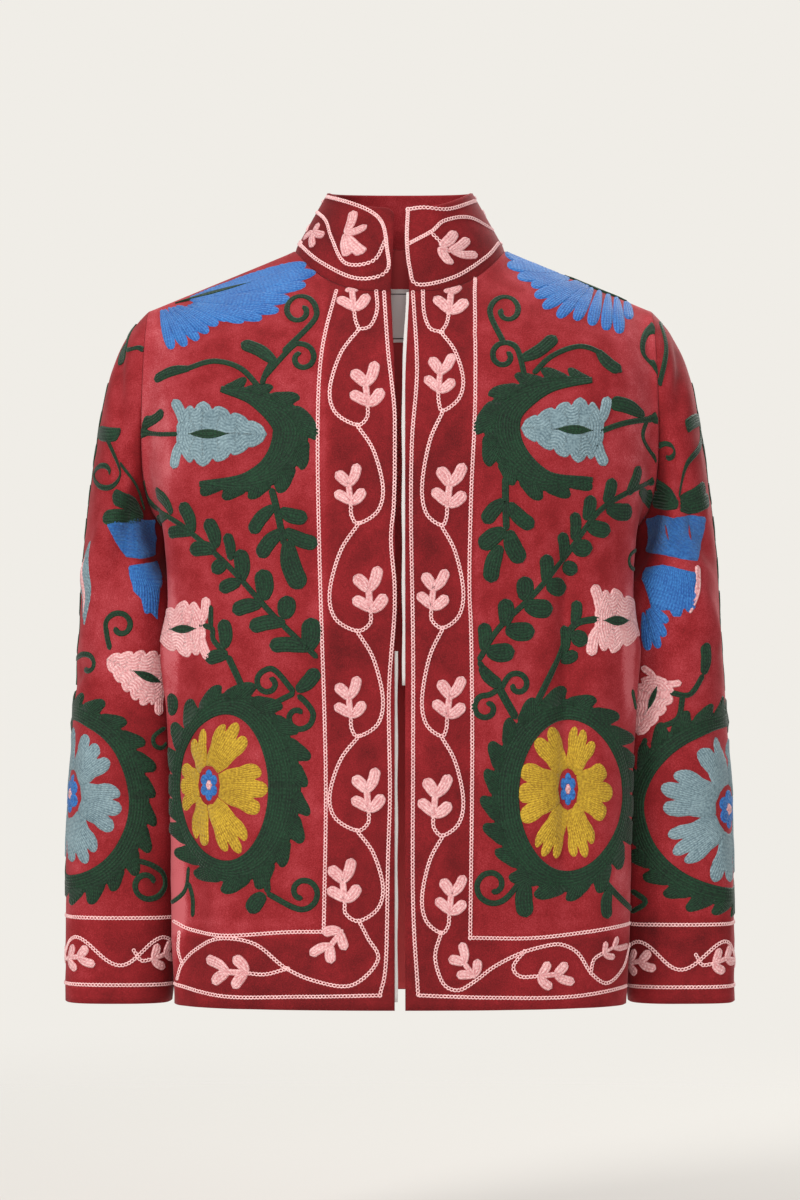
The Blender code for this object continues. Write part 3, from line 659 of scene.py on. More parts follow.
def rim_outward(cut):
    """For each point of the rim, the way out of the cloth, in its own surface."""
    out = np.zeros_like(cut.points)
    u, v = cut.rim[:, 0], cut.rim[:, 1]
    side = unit(np.cross(cut.points[v] - cut.points[u], cut.normals[u] + cut.normals[v]))
    np.add.at(out, u, side)
    np.add.at(out, v, side)
    size = np.linalg.norm(out, axis=1, keepdims=True)
    return np.divide(out, size, out=np.zeros_like(out), where=size > 1e-9)


def jacket_cuts():
    """All pieces of cloth with their folds, seams and normals."""
    front, back = fine_panel(True), fine_panel(False)
    sleeve = fine_sleeve(front, back)
    collar = fine_collar(front, back)
    spine = (SKIRT_ROWS + YOKE_ROWS - NECK_ROWS) * FINER
    front_normals, back_normals = grid_normals(front, False, False), grid_normals(back, False, True)
    sleeve_normals = grid_normals(sleeve, True, False)
    cuts = [
        Cut("left_front", [(fold_panel(front, front_normals, "front"), False)]),
        Cut("right_front", [(fold_panel(mirrored(front), mirrored(front_normals), "front"), True)]),
        Cut(
            "back",
            [
                (fold_panel(back, back_normals, "back", spine), True),
                (fold_panel(mirrored(back), mirrored(back_normals), "back", spine), False),
            ],
        ),
        Cut("left_sleeve", [(fold_sleeve(sleeve, sleeve_normals, "left"), False)], closed=True),
        Cut(
            "right_sleeve",
            [(fold_sleeve(mirrored(sleeve), mirrored(sleeve_normals), "right"), True)],
            closed=True,
        ),
        Cut("collar", [(collar, False)]),
    ]
    share_normals(cuts)
    for cut in cuts:
        sink_seams(cut)
    share_normals(cuts)
    return {cut.name: cut for cut in cuts}


class Wire:
    """A socket of a material's nodes, so that sums on it read as plain sums."""

    def __init__(self, nodes, socket):
        self.nodes, self.socket = nodes, socket

    def sum(self, operation, *ends):
        return self.nodes.node("ShaderNodeMath", {"operation": operation}, dict(enumerate(ends)))

    def __add__(self, other):
        return self.sum("ADD", self, other)

    def __radd__(self, other):
        return self.sum("ADD", other, self)

    def __sub__(self, other):
        return self.sum("SUBTRACT", self, other)

    def __rsub__(self, other):
        return self.sum("SUBTRACT", other, self)

    def __mul__(self, other):
        return self.sum("MULTIPLY", self, other)

    def __rmul__(self, other):
        return self.sum("MULTIPLY", other, self)

    def near(self, value, half_width):
        """1 where it is near a value, and 0 elsewhere."""
        return self.sum("COMPARE", self, value, half_width)

    def cosine(self):
        return self.sum("COSINE", self)

    def fraction(self):
        return self.sum("FRACT", self)

    def size(self):
        return self.sum("ABSOLUTE", self)


class Nodes:
    """The nodes of a material or of the world."""

    def __init__(self, owner):
        owner.use_nodes = True
        self.tree = owner.node_tree

    def node(self, kind, settings, sockets, out=0):
        """A node with its settings made first, then its sockets; returns one of its outputs."""
        made = self.tree.nodes.new(kind)
        for name, value in settings.items():
            if name == "stops":
                while len(made.color_ramp.elements) < len(value):
                    made.color_ramp.elements.new(1.0)
                for stop, (place, colour) in zip(made.color_ramp.elements, value):
                    stop.position, stop.color = place, (*colour, 1.0)
            else:
                setattr(made, name, value)
        for name, value in sockets.items():
            self.feed(made.inputs[name], value)
        return Wire(self, made.outputs[out])

    def feed(self, socket, value):
        """Links a socket, or gives it a value. A colour is given as its red, green and blue."""
        if isinstance(value, Wire):
            self.tree.links.new(value.socket, socket)
        else:
            socket.default_value = (*value, 1.0) if socket.type == "RGBA" else value


class Finish(Nodes):
    """A material, built from one shader and the nodes that feed it."""

    def __init__(self, name):
        self.material = bpy.data.materials.new(name)
        super().__init__(self.material)
        self.shader = self.tree.nodes["Principled BSDF"]

    def set(self, **sockets):
        """Values or links of the shader's own sockets."""
        for name, value in sockets.items():
            self.feed(self.shader.inputs[name.replace("_", " ")], value)

    def place(self):
        return self.node("ShaderNodeTexCoord", {}, {}, "Object")

    def cloud(self, place, scale, detail):
        """Noise from 0 to 1."""
        return self.node("ShaderNodeTexNoise", {}, {"Vector": place, "Scale": scale, "Detail": detail})

    def blend(self, share, low, high):
        """A colour between two."""
        return self.node("ShaderNodeMix", {"data_type": "RGBA"}, {0: share, 6: low, 7: high}, 2)

    def bump(self, height, strength, distance):
        sockets = {"Strength": strength, "Distance": distance, "Height": height}
        return self.node("ShaderNodeBump", {}, sockets)


def velvet_finish():
    """Crimson cotton velvet: nap that lies lighter and darker in patches, over a tone given per point that
    also holds painted sheen and painted shade.
    """
    finish = Finish("crimson velvet")
    place = finish.place()
    # tone per point: darker bands and lighter nap by the stitching, with painted sheen on sides that round
    # away and painted shade by the body
    nap = finish.node("ShaderNodeAttribute", {"attribute_name": "nap"}, {}, "Fac")
    patches = finish.cloud(place, 11.0, 3.0)
    strokes = finish.cloud(place, 60.0, 4.0)
    pile = finish.cloud(place, 1100.0, 2.0)
    lie = nap + (patches - 0.5) * 0.60 + (strokes - 0.5) * 0.40 + (pile - 0.5) * 0.70
    stops = (
        (0.00, (0.055, 0.0015, 0.0025)),
        (0.30, (0.140, 0.0045, 0.0065)),
        (0.55, (0.245, 0.0100, 0.0140)),
        (0.80, (0.370, 0.0360, 0.0460)),
        (1.00, (0.500, 0.1050, 0.1200)),
    )
    finish.set(
        Base_Color=finish.node("ShaderNodeValToRGB", {"stops": stops}, {"Fac": lie}),
        Roughness=0.86,
        Specular_IOR_Level=0.25,
        Sheen_Weight=0.14,
        Sheen_Roughness=0.35,
        Sheen_Tint=(1.0, 0.42, 0.44),
        Normal=finish.bump(pile * 0.7 + strokes * 0.6, 0.35, 0.0006),
    )
    return finish.material


def lining_finish():
    """Bright red plain cotton on the inside."""
    finish = Finish("red lining")
    place = finish.place()
    patches = finish.cloud(place, 16.0, 3.0)
    weave = finish.cloud(place, 1500.0, 1.0)
    share = patches * 0.7 + weave * 0.4 - 0.05
    finish.set(
        Base_Color=finish.blend(share, (0.40, 0.030, 0.036), (0.62, 0.085, 0.090)),
        Roughness=0.8,
        Specular_IOR_Level=0.25,
        Normal=finish.bump(weave, 0.25, 0.0004),
    )
    return finish.material


def add_mesh(name, points, faces, materials, picks=None):
    """An object on the part's one body, from points and faces."""
    mesh = bpy.data.meshes.new(name)
    mesh.from_pydata([tuple(p) for p in points], [], [tuple(f) for f in faces])
    for material in materials:
        mesh.materials.append(material)
    if picks is not None:
        mesh.polygons.foreach_set("material_index", np.asarray(picks, np.int32))
    mesh.shade_smooth()
    thing = bpy.data.objects.new(name, mesh)
    bpy.context.scene.collection.objects.link(thing)
    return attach(thing, "root")


def sew(cut, materials, nap):
    """The piece of cloth as a thin wall with rounded free edges."""
    count = len(cut.points)
    out = rim_outward(cut)
    on_rim = np.zeros(count, bool)
    on_rim[cut.rim.reshape(-1)] = True
    draw = np.where(cut.on_seam, SEAM / 2, EDGE_BULGE) * on_rim
    outer = cut.points - out * draw[:, None]
    inner = outer - CLOTH * cut.normals
    middle = (outer + inner) / 2 + out * (EDGE_BULGE * on_rim)[:, None]
    rim_points = np.flatnonzero(on_rim)
    place = np.full(count, -1)
    place[rim_points] = 2 * count + np.arange(len(rim_points))
    outer_faces = cut.quads.tolist()
    inner_faces = (cut.quads[:, ::-1] + count).tolist()
    rims = []
    for u, v in cut.rim.tolist():
        if cut.on_seam[u] and cut.on_seam[v]:
            rims.append((v, u, count + u, count + v))
        else:
            rims.append((v, u, place[u], place[v]))
            rims.append((place[v], place[u], count + u, count + v))
    picks = [0] * len(outer_faces) + [1] * len(inner_faces) + [0] * len(rims)
    used = np.unique(np.array([i for face in rims for i in face if i >= 2 * count]))
    points = np.vstack([outer, inner, middle[rim_points]])
    if len(used) < len(rim_points):  # drops the middle points that only a seam would have used
        keep = np.concatenate([np.arange(2 * count), used])
        new = np.full(len(points), -1)
        new[keep] = np.arange(len(keep))
        points = points[keep]
        rims = [tuple(new[list(face)]) for face in rims]
    thing = add_mesh(cut.name + "_cloth", points, outer_faces + inner_faces + rims, materials, picks)
    thing.data.set_sharp_from_angle(angle=math.radians(60))
    # the velvet's tone per point, painted sheen and painted shade included
    shade = thing.data.attributes.new("nap", "FLOAT", "POINT")
    values = np.full(len(points), 0.5)
    values[:count] = nap
    shade.data.foreach_set("value", values.astype(np.float32))
    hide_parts(cut.name)
    return thing


# Squared chart of the embroidery
SQUARE_SIZE = 0.00088
CHART_MIDDLE = 400.0
CHART_SHOULDER = 247.0

# Stitching
THREAD_HEIGHT = 0.0011
THREAD_ROUND = 0.0014  # how far in from its edge stitching reaches its full height
TUCK = 0.0002  # how far the edge of the stitching sinks into the pile
ROW = 0.0026  # from one row of chain stitch to the next in a filled shape
LINK = 0.0034  # length of a stitch in such a row
MESH_STEP = 0.0019  # from one point of a filled shape to the next
EDGE_CLEAR = 0.55  # share of that kept free inside a shape's edge
STEM_STEP = 0.0022
LEAF_STEP = 0.0018
LEAF_BOW = 0.07  # bow of a leaf's middle against its length
LEAF_FOOT = 0.50  # width of a leaf at its foot against its widest
TIP_FROM = 0.35  # earliest place along a leaf where its tip may start to round
MISS = 0.0012  # stitching further off the cloth than this is left out
EDGE_ON = 0.03  # cloth that faces the view by less than this isn't drawn on
CHAIN_PITCH = 0.0031
CHAIN_LINK = (0.0017, 0.0013)  # half length and half width to the middle of the thread
CHAIN_SIDES = 8
LINK_TAPER = 0.18  # how much narrower a link is at its front
LINK_RISE = 0.0002  # how much higher it is there, over the next link's tail
CHAIN_SECTION = ((0.00060, -0.0001), (0.0, 0.0009), (-0.00055, 0.0002))  # outwards and up
STEM_PROFILE = (0.0, 0.5, 1.0)  # shares of the half width at which a narrow band has points
LEAF_PROFILE = (0.0, 0.2, 0.5, 1.0)
BAND_PROFILE = (0.0, 0.06, 0.13, 0.5, 1.0)


def chart_place(squares):
    """Metres across and up for places on the chart."""
    squares = np.asarray(squares, float)
    across = (squares[..., 0] - CHART_MIDDLE) * SQUARE_SIZE
    return np.stack([across, (CHART_SHOULDER - squares[..., 1]) * SQUARE_SIZE], axis=-1)


def left_of(ahead):
    """The unit direction to the left of some flat directions."""
    ahead = unit(ahead)
    return np.stack([-ahead[..., 1], ahead[..., 0]], axis=-1)


def line_length(line):
    """Length of a line along its points."""
    return float(walk(line)[-1])


def body_spread(grid):
    """A half panel spread flat: distances across from the middle and up from the hem, along the cloth."""
    side = np.sign(grid[0, -1, 0])
    across = np.hypot(np.diff(grid[..., 0], axis=1), np.diff(grid[..., 1], axis=1))
    start = np.abs(grid[:, :1, 0])
    across = side * np.concatenate([start, start + np.cumsum(across, axis=1)], axis=1)
    up = np.hypot(np.diff(grid[..., 1], axis=0), np.diff(grid[..., 2], axis=0))
    start = grid[:1, :, 2]
    return np.stack([across, np.concatenate([start, start + np.cumsum(up, axis=0)])], axis=-1)


def collar_spread(grid):
    """The collar spread flat."""
    across = np.linalg.norm(np.diff(grid, axis=1), axis=2)
    across = np.concatenate([0.0 * across[:, :1], np.cumsum(across, axis=1)], axis=1)
    up = np.linalg.norm(np.diff(grid, axis=0), axis=2)
    up = np.concatenate([0.0 * up[:1], np.cumsum(up, axis=0)])
    return np.stack([across - across[:, -1:] / 2, up], axis=-1)


def sleeve_spread(rings):
    """A sleeve cut open at its underarm line and spread flat, its outer line in the middle."""
    half = rings.shape[1] // 2
    order = np.concatenate([np.arange(half, 2 * half), np.arange(half + 1)])
    grid = rings[:, order]
    across = np.linalg.norm(np.diff(grid, axis=1), axis=2)
    across = np.concatenate([0.0 * across[:, :1], np.cumsum(across, axis=1)], axis=1)
    across -= across[:, half : half + 1]
    down = np.linalg.norm(np.diff(grid, axis=0), axis=2)[::-1]
    up = np.concatenate([0.0 * down[:1], np.cumsum(down, axis=0)])[::-1] + SLEEVE_SECTIONS[-1][0]
    return order, np.stack([across, up], axis=-1)


class Flat:
    """Values at the corners of a flat mesh, read at any place on it."""

    def __init__(self, corners, triangles, values):
        self.corners, self.triangles, self.values = corners, triangles, values
        points = [(x, y, 0.0) for x, y in corners.tolist()]
        self.tree = BVHTree.FromPolygons(points, triangles.tolist(), all_triangles=True)

    def read(self, places):
        """The values at some places, and how far off the mesh each place is."""
        found, near = [], []
        for x, y in places.tolist():
            spot, _, index, _ = self.tree.find_nearest((x, y, 0.0))
            found.append(index)
            near.append((spot.x, spot.y))
        near, corners = np.array(near), self.triangles[found]
        a, b, c = (self.corners[corners[:, i]] for i in range(3))
        ab, ac, ap = b - a, c - a, near - a
        area = ab[:, 0] * ac[:, 1] - ab[:, 1] * ac[:, 0]
        area = np.where(np.abs(area) < 1e-14, 1e-14, area)
        second = (ap[:, 0] * ac[:, 1] - ap[:, 1] * ac[:, 0]) / area
        third = (ab[:, 0] * ap[:, 1] - ab[:, 1] * ap[:, 0]) / area
        shares = np.stack([1 - second - third, second, third], axis=1)
        values = (self.values[corners] * shares[..., None]).sum(axis=1)
        return values, np.linalg.norm(near - places, axis=1)


class Chart:
    """A piece of cloth spread flat, and where a place on the squared chart lies on it."""

    def __init__(self, cut, patches, facing, fold_at=None):
        self.cut, self.fold_at, self.shift, self.turned, self.rounds = cut, fold_at, 0.0, False, False
        corners, spread, triangles, start = [], [], [], 0
        for numbers, flat in patches:
            index = start + np.arange(numbers.size).reshape(numbers.shape)
            start += numbers.size
            triangles.append(halved(grid_cells(index)))
            corners.append(numbers.reshape(-1))
            spread.append(flat.reshape(-1, 2))
        corners, spread, triangles = (np.concatenate(parts) for parts in (corners, spread, triangles))
        points, normals = cut.points[corners], cut.normals[corners]
        seen = triangles[normals[triangles].mean(axis=1)[:, 1] * facing > EDGE_ON]
        self.by_view = Flat(points[:, [0, 2]], seen, spread)
        self.by_spread = Flat(spread, triangles, np.hstack([points, normals]))

    def spread_out(self, squares):
        """Places of the chart on the spread cloth, as seen from the front or, on the back, from behind."""
        squares = np.array(squares, float)
        squares[:, 0] += self.shift
        if self.rounds:
            outward = math.copysign(1.0, self.fold_at - CHART_MIDDLE)
            across = (self.fold_at - squares[:, 0]) * outward * SQUARE_SIZE
            return np.stack([across, chart_place(squares)[:, 1]], axis=1)
        places, self.missed = self.by_view.read(chart_place(squares))
        if self.turned:
            places[:, 0] *= -1
        return places

    def visible(self, squares):
        """The longest stretch of a line of places that lies on this piece of cloth, spread flat."""
        places = self.spread_out(squares)
        if self.rounds:
            return places
        best, run = [], []
        for place, off in zip(places, self.missed):
            run = [*run, place] if off < MISS else []
            best = run if len(run) > len(best) else best
        return np.array(best)


def smooth(points):
    """A smooth open line through places on the chart."""
    points = np.array(points, float)
    return spline(points, 8) if len(points) > 2 else np.linspace(points[0], points[1], 9)


def edge_reach(places, starts, ends):
    """How far places are from the nearest of some edges, and how far along the edges that is."""
    runs = ends - starts
    sizes = np.maximum((runs**2).sum(axis=1), 1e-16)
    walked = np.concatenate([[0.0], np.cumsum(np.sqrt(sizes))])[:-1]
    away = places[:, None] - starts[None]
    share = np.clip((away * runs[None]).sum(axis=2) / sizes, 0.0, 1.0)
    gaps = np.linalg.norm(away - share[..., None] * runs[None], axis=2)
    best = gaps.argmin(axis=1)
    rows = np.arange(len(places))
    return gaps[rows, best], walked[best] + share[rows, best] * np.sqrt(sizes[best])


def within(places, starts, ends):
    """Whether places are inside the loops that edges make."""
    x, y = places[:, :1], places[:, 1:]
    ax, ay, bx, by = starts[:, 0], starts[:, 1], ends[:, 0], ends[:, 1]
    spans = (ay[None] > y) != (by[None] > y)
    rise = np.where(np.abs(by - ay) < 1e-15, 1e-15, by - ay)
    crossing = ax[None] + (y - ay[None]) * ((bx - ax) / rise)[None]
    return ((spans & (x < crossing)).sum(axis=1) % 2) == 1


def swell(depth, height):
    """Height of stitching at a distance in from its edge."""
    inner = np.clip(depth / THREAD_ROUND, 0.0, 1.0)
    return (height + TUCK) * np.sqrt(1 - (1 - inner) ** 2) - TUCK


class Stitching:
    """The embroidery of one piece of cloth, all joined into one mesh."""

    def __init__(self, chart, finishes):
        self.chart, self.finishes = chart, finishes
        self.parts = []
        self.count = 0

    def add(self, points, normals, faces, grain, thread):
        """Adds triangles of thread, turned outwards."""
        if not len(faces):
            return
        a, b, c = (points[faces[:, i]] for i in range(3))
        outward = (np.cross(b - a, c - a) * normals[faces[:, 0]]).sum(axis=1)
        faces = np.where((outward < 0)[:, None], faces[:, ::-1], faces)
        self.parts.append((points, faces + self.count, grain, list(self.finishes).index(thread)))
        self.count += len(points)

    def lay(self, flat, raised, faces, grain, thread):
        """Lays a patch of stitching on the cloth."""
        values, off = self.chart.by_spread.read(flat)
        points, normals = values[:, :3], values[:, 3:]
        faces = faces[(off[faces] < MISS).all(axis=1)]
        self.add(points + normals * raised[:, None], normals, faces, grain, thread)

    def fill(self, outline, thread, axis=None, lift=0.0):
        """A shape filled with rows of stitching that follow its outline, or run from base to tip."""
        loop = self.chart.spread_out(outline)
        loop = np.vstack([loop, loop[:1]])
        starts = even(loop, max(8, round(line_length(loop) / MESH_STEP)))[:-1]
        ends = np.roll(starts, -1, axis=0)
        low, high = starts.min(axis=0), starts.max(axis=0)
        rise = MESH_STEP * math.sqrt(0.75)
        ys = np.arange(low[1] + rise / 2, high[1], rise)
        xs = np.arange(low[0], high[0] + MESH_STEP, MESH_STEP)
        lattice = np.array([(x + MESH_STEP / 2 * (k % 2), y) for k, y in enumerate(ys) for x in xs])
        lattice = lattice.reshape(-1, 2)
        if len(lattice):
            reach = edge_reach(lattice, starts, ends)[0]
            lattice = lattice[within(lattice, starts, ends) & (reach > MESH_STEP * EDGE_CLEAR)]
        edges = [(k, (k + 1) % len(starts)) for k in range(len(starts))]
        corners = [Vector(p) for p in (np.vstack([starts, lattice]) * 1000).tolist()]
        found = delaunay_2d_cdt(corners, edges, [], 0, 1e-4)
        flat = np.array([tuple(v) for v in found[0]]) / 1000
        faces = np.array([face for face in found[2] if len(face) == 3], int).reshape(-1, 3)
        faces = faces[within(flat[faces].mean(axis=1), starts, ends)]
        depth, along = edge_reach(flat, starts, ends)
        grain = np.stack([depth, along], axis=1)
        if axis is not None:
            base, tip = self.chart.spread_out(axis)
            along = (flat - base) @ unit(tip - base)
            across = (flat - base) @ left_of(tip - base)
            fan = PETAL_BASE + PETAL_SPREAD * along / max(np.linalg.norm(tip - base), 1e-6)
            grain = np.stack([across / np.clip(fan, 0.3, 1.2), along], axis=1)
        self.lay(flat, swell(depth, THREAD_HEIGHT) + lift, faces, grain, thread)

    def band(self, line, widths, thread, profile=STEM_PROFILE, closed=False, height=THREAD_HEIGHT):
        """A band of stitching along a line on the spread cloth."""
        widths = np.broadcast_to(np.asarray(widths, float), (len(line),))
        if closed:
            ahead = np.roll(line, -1, axis=0) - np.roll(line, 1, axis=0)
        else:
            ahead = np.gradient(line, axis=0)
        side = left_of(ahead)
        shares = np.array(profile)
        signed = np.concatenate([shares - 1, (1 - shares)[-2::-1]])
        flat = line[:, None] + side[:, None] * (signed[None] * widths[:, None] / 2)[..., None]
        depth = (1 - np.abs(signed))[None] * widths[:, None] / 2
        along = walk(line)[:, None] + 0.0 * depth
        rows, columns = depth.shape
        index = np.arange(rows * columns).reshape(rows, columns)
        if closed:
            index = np.vstack([index, index[:1]])
        faces = halved(grid_cells(index))
        grain = np.stack([depth, along], axis=-1).reshape(-1, 2)
        self.lay(flat.reshape(-1, 2), swell(depth, height).reshape(-1), faces, grain, thread)

    def stem(self, places, width, thread="green"):
        """A stem through places on the chart, with rounded ends."""
        line = self.chart.visible(smooth(places))
        if len(line) < 3:
            return
        line = even(line, max(4, round(line_length(line) / STEM_STEP)))
        at = np.linspace(0.0, line_length(line), len(line))
        width = width * SQUARE_SIZE
        ends = np.clip(np.minimum(at, at[-1] - at) / (width / 2), 0.0, 1.0)
        self.band(line, width * np.maximum(np.sqrt(1 - (1 - ends) ** 2), 0.35), thread)

    def leaf(self, base, tip, width, thread="green"):
        """A leaf that widens from its base to a round tip."""
        base, tip = np.array(base, float), np.array(tip, float)
        bow = np.array([base[1] - tip[1], tip[0] - base[0]]) * LEAF_BOW
        line = self.chart.visible(smooth([base, (base + tip) / 2 + bow, tip]))
        if len(line) < 3:
            return
        line = even(line, max(6, round(line_length(line) / LEAF_STEP)))
        share = np.linspace(0.0, 1.0, len(line))
        round_from = max(1 - width * SQUARE_SIZE / 2 / line_length(line), TIP_FROM)
        body = LEAF_FOOT + (1 - LEAF_FOOT) * np.sin(np.clip(share * 2, 0.0, 1.0) * math.pi / 2)
        past = np.clip((share - round_from) / (1 - round_from), 0.0, 1.0)
        body = body * np.sqrt(np.maximum(1 - past**2, 0.02))
        body[0] *= 0.5
        self.band(line, width * SQUARE_SIZE * body, thread, LEAF_PROFILE)

    def chain(self, line):
        """A line of open chain stitch on the spread cloth, link by link."""
        line = even(line, max(2, round(line_length(line) / CHAIN_PITCH)))
        values, off = self.chart.by_spread.read(line)
        points, normals = values[:, :3], values[:, 3:]
        ahead = unit(np.gradient(points, axis=0))
        side = np.cross(normals, ahead)
        keep = off < MISS
        points, normals, ahead, side = points[keep], normals[keep], ahead[keep], side[keep]
        turn = full_turn(CHAIN_SIDES)
        rings = []
        for grow, up in CHAIN_SECTION:
            forward = (CHAIN_LINK[0] + grow) * np.cos(turn)
            across = (CHAIN_LINK[1] + grow) * np.sin(turn) * (1 - LINK_TAPER * np.cos(turn))
            raised = up + LINK_RISE * np.cos(turn)
            ring = points[:, None] + ahead[:, None] * forward[None, :, None]
            ring = ring + side[:, None] * across[None, :, None] + normals[:, None] * raised[None, :, None]
            rings.append(ring)
        shape = np.stack(rings, axis=1)
        links, sections = shape.shape[:2]
        index = np.arange(links * sections * CHAIN_SIDES).reshape(links, sections, CHAIN_SIDES)
        after = np.roll(index, -1, axis=2)
        cells = np.stack([index[:, :-1], after[:, :-1], after[:, 1:], index[:, 1:]], axis=-1)
        faces = halved(cells.reshape(-1, 4))
        shape = shape.reshape(-1, 3)
        grain = np.full((len(shape), 2), (ROW / 2, LINK / 2))
        self.add(shape, np.repeat(normals, sections * CHAIN_SIDES, axis=0), faces, grain, "pink")

    def chain_through(self, *lines):
        """Chain stitch along smooth lines through places on the chart."""
        for places in lines:
            line = self.chart.visible(smooth(places))
            if len(line) > 2:
                self.chain(line)

    def finish(self, name):
        """The embroidery as one object."""
        points, faces, grain = (np.vstack([part[i] for part in self.parts]) for i in range(3))
        picks = np.concatenate([np.full(len(part[1]), part[3]) for part in self.parts])
        used, faces = np.unique(faces, return_inverse=True)
        faces = faces.reshape(-1, 3)
        thing = add_mesh(name, points[used], faces, list(self.finishes.values()), picks)
        rows = thing.data.uv_layers.new(name="rows")
        rows.data.foreach_set("uv", grain[used][faces.reshape(-1)].astype(np.float32).reshape(-1))
        self.places = points[used]
        return thing


PETAL_BASE = 0.42  # width of a petal at its base against its widest
PETAL_SPREAD = 0.62  # how much wider it is at its tip
NEXT_LIFT = 0.00012  # how much higher every other petal lies
EYE_LIFT = 0.0003
GROUP_LEAD = 6.0  # half of the slit between two groups of petals, in degrees


def full_turn(count):
    """Even angles all the way round."""
    return 2 * math.pi * np.arange(count) / count


def petal(base, tip, width):
    """Outline of a petal that widens from its base to a round tip."""
    base, tip = np.array(base, float), np.array(tip, float)
    turn = full_turn(28)
    share = (1 - np.cos(turn)) / 2
    wide = np.sign(np.sin(turn)) * np.abs(np.sin(turn)) ** 0.8
    half = width / 2 * wide * (PETAL_BASE + PETAL_SPREAD * share)
    return base + (tip - base) * share[:, None] + left_of(tip - base) * half[:, None]


def fingers(work, rows, thread):
    """Petals side by side. Each row has a base, a tip and a width."""
    for k, (base_x, base_y, tip_x, tip_y, width) in enumerate(rows):
        ends = ((base_x, base_y), (tip_x, tip_y))
        work.fill(petal(*ends, width), thread, axis=ends, lift=NEXT_LIFT * (k % 2))


def lens(nose, tail, width):
    """Outline of a long leaf with two pointed ends."""
    nose, tail = np.array(nose, float), np.array(tail, float)
    share = np.linspace(0.0, 1.0, 15)[:, None]
    near = nose + (tail - nose) * share
    bulge = left_of(tail - nose) * width / 2 * np.sin(math.pi * share**0.8)
    return np.vstack([near + bulge, (near - bulge)[-2:0:-1]])


# Half width of a tulip from its nose to its tail, against its widest
TULIP_SHARES = (0.0, 0.05, 0.18, 0.42, 0.70, 0.86, 0.94, 1.0)
TULIP_WIDTHS = (0.0, 0.26, 0.46, 0.76, 1.0, 0.90, 0.62, 0.30)


def tulip(nose, tail, spread, scallops):
    """Outline of a tulip's scalloped body seen from the side, narrow at its nose."""
    share = np.linspace(0.0, 1.0, 8 * scallops + 1)
    bulge = 0.84 + 0.20 * np.sqrt(np.abs(np.sin(math.pi * scallops * share)))
    half = spread * np.interp(share, TULIP_SHARES, TULIP_WIDTHS) * bulge
    middle, out = nose + (tail - nose) * share[:, None], left_of(tail - nose) * half[:, None]
    return np.vstack([middle + out, (middle - out)[:0:-1]])


def round_oval(middle, halves, turn):
    """Places on an oval at some angles."""
    return np.stack([middle[0] + halves[0] * np.cos(turn), middle[1] + halves[1] * np.sin(turn)], axis=-1)


def curl(start, centre, radius, first, turns):
    """Places along a tendril that runs into a curl. Angles are in degrees, turns are clockwise."""
    share = np.linspace(0.0, 1.0, max(5, round(abs(turns) * 9)))
    reach = radius * (1 - 0.68 * share**1.1)
    winding = round_oval(centre, (reach, reach), math.radians(first) + share * turns * 2 * math.pi)
    return np.vstack([[start], winding])


def petal_group(hub, hub_half, outer, outer_half, start, stop, lobes):
    """Outline and axis of petals that are joined at their base, round an oval hub. Angles are in degrees."""
    start, stop, lead = math.radians(start), math.radians(stop), math.radians(GROUP_LEAD)
    share = np.linspace(0.0, 1.0, 10 * lobes + 1)
    notch = 1 - 0.25 * (1 - np.sqrt(np.abs(np.sin(math.pi * lobes * share))))
    reach = (1 - 0.12 * (2 * share - 1) ** 2 + 0.04 * np.sin(9 * share + start * 5)) * notch
    turn = [start - lead, start - lead, start, *(start + (stop - start) * share)]
    turn = np.array([*turn, stop, stop + lead, stop + lead, (start + stop) / 2])
    reach = np.array([0.0, 0.24, 0.48, *reach, 0.48, 0.24, 0.0, 0.0])
    near, far = round_oval(hub, hub_half, turn), round_oval(outer, outer_half, turn)
    middle = (start + stop) / 2
    axis = (round_oval(hub, hub_half, middle), round_oval(outer, outer_half, middle))
    return near + (far - near) * reach[:, None], axis


def flower(work, hub, hub_half, outer, outer_half, groups, thread):
    """A full flower: groups of petals round a hub, with a small blue flower and a pink middle in it."""
    for k, group in enumerate(groups):
        outline, axis = petal_group(hub, hub_half, outer, outer_half, *group)
        work.fill(outline, thread, axis=axis, lift=NEXT_LIFT * (k % 2))
    inner = np.array(hub_half) * 0.84
    for turn in full_turn(6) + math.pi / 6:
        spot = round_oval(hub, inner * 0.60, turn)
        work.fill(round_oval(spot, inner * (0.42, 0.36), full_turn(12)), "blue")
    work.fill(round_oval(hub, inner * (0.34, 0.30), full_turn(12)), "pink", lift=EYE_LIFT)


# Outline of a leaf on the outer edge of a band: along it and out from it, in its own length and reach
EDGE_LEAF = (
    (-0.62, -0.6), (-0.40, 0.12), (-0.12, 0.50), (0.12, 0.84), (0.32, 1.0),
    (0.47, 0.90), (0.53, 0.62), (0.50, 0.28), (0.44, -0.6),
)
EDGE_TIP = 4  # number of the point at its tip
EDGE_LIFT = 0.0001
CRESCENT_LOBE = 23.0


def leaves_along(work, spine, widths, outward, length, reach):
    """Leaves in a row along the outer side of a band, all leaning the way that the band runs."""
    walked = walk(spine)
    side = left_of(np.gradient(spine, axis=0)) * outward
    count = max(1, round(walked[-1] / length))
    length = walked[-1] / count
    shape = np.array(EDGE_LEAF)
    for k in range(count):
        grow = 1 + 0.16 * math.sin(2.3 * k + count)
        at = (k + 0.5) * length + shape[:, 0] * length
        half = np.interp(at, walked, widths) / 2
        out = half + np.where(shape[:, 1] > 0, shape[:, 1] * reach * grow, shape[:, 1] * half)
        out *= np.interp(at, (0.0, length, walked[-1] - length, walked[-1]), (0.85, 1.0, 1.0, 0.85))
        foot = np.stack([np.interp(at, walked, row) for row in spine.T], axis=1)
        away = np.stack([np.interp(at, walked, row) for row in side.T], axis=1)
        places = foot + away * out[:, None]
        axis = (places[[0, -1]].mean(axis=0), places[EDGE_TIP])
        work.fill(spline(places, 4), "green", axis=axis, lift=EDGE_LIFT * (1 + k % 2))


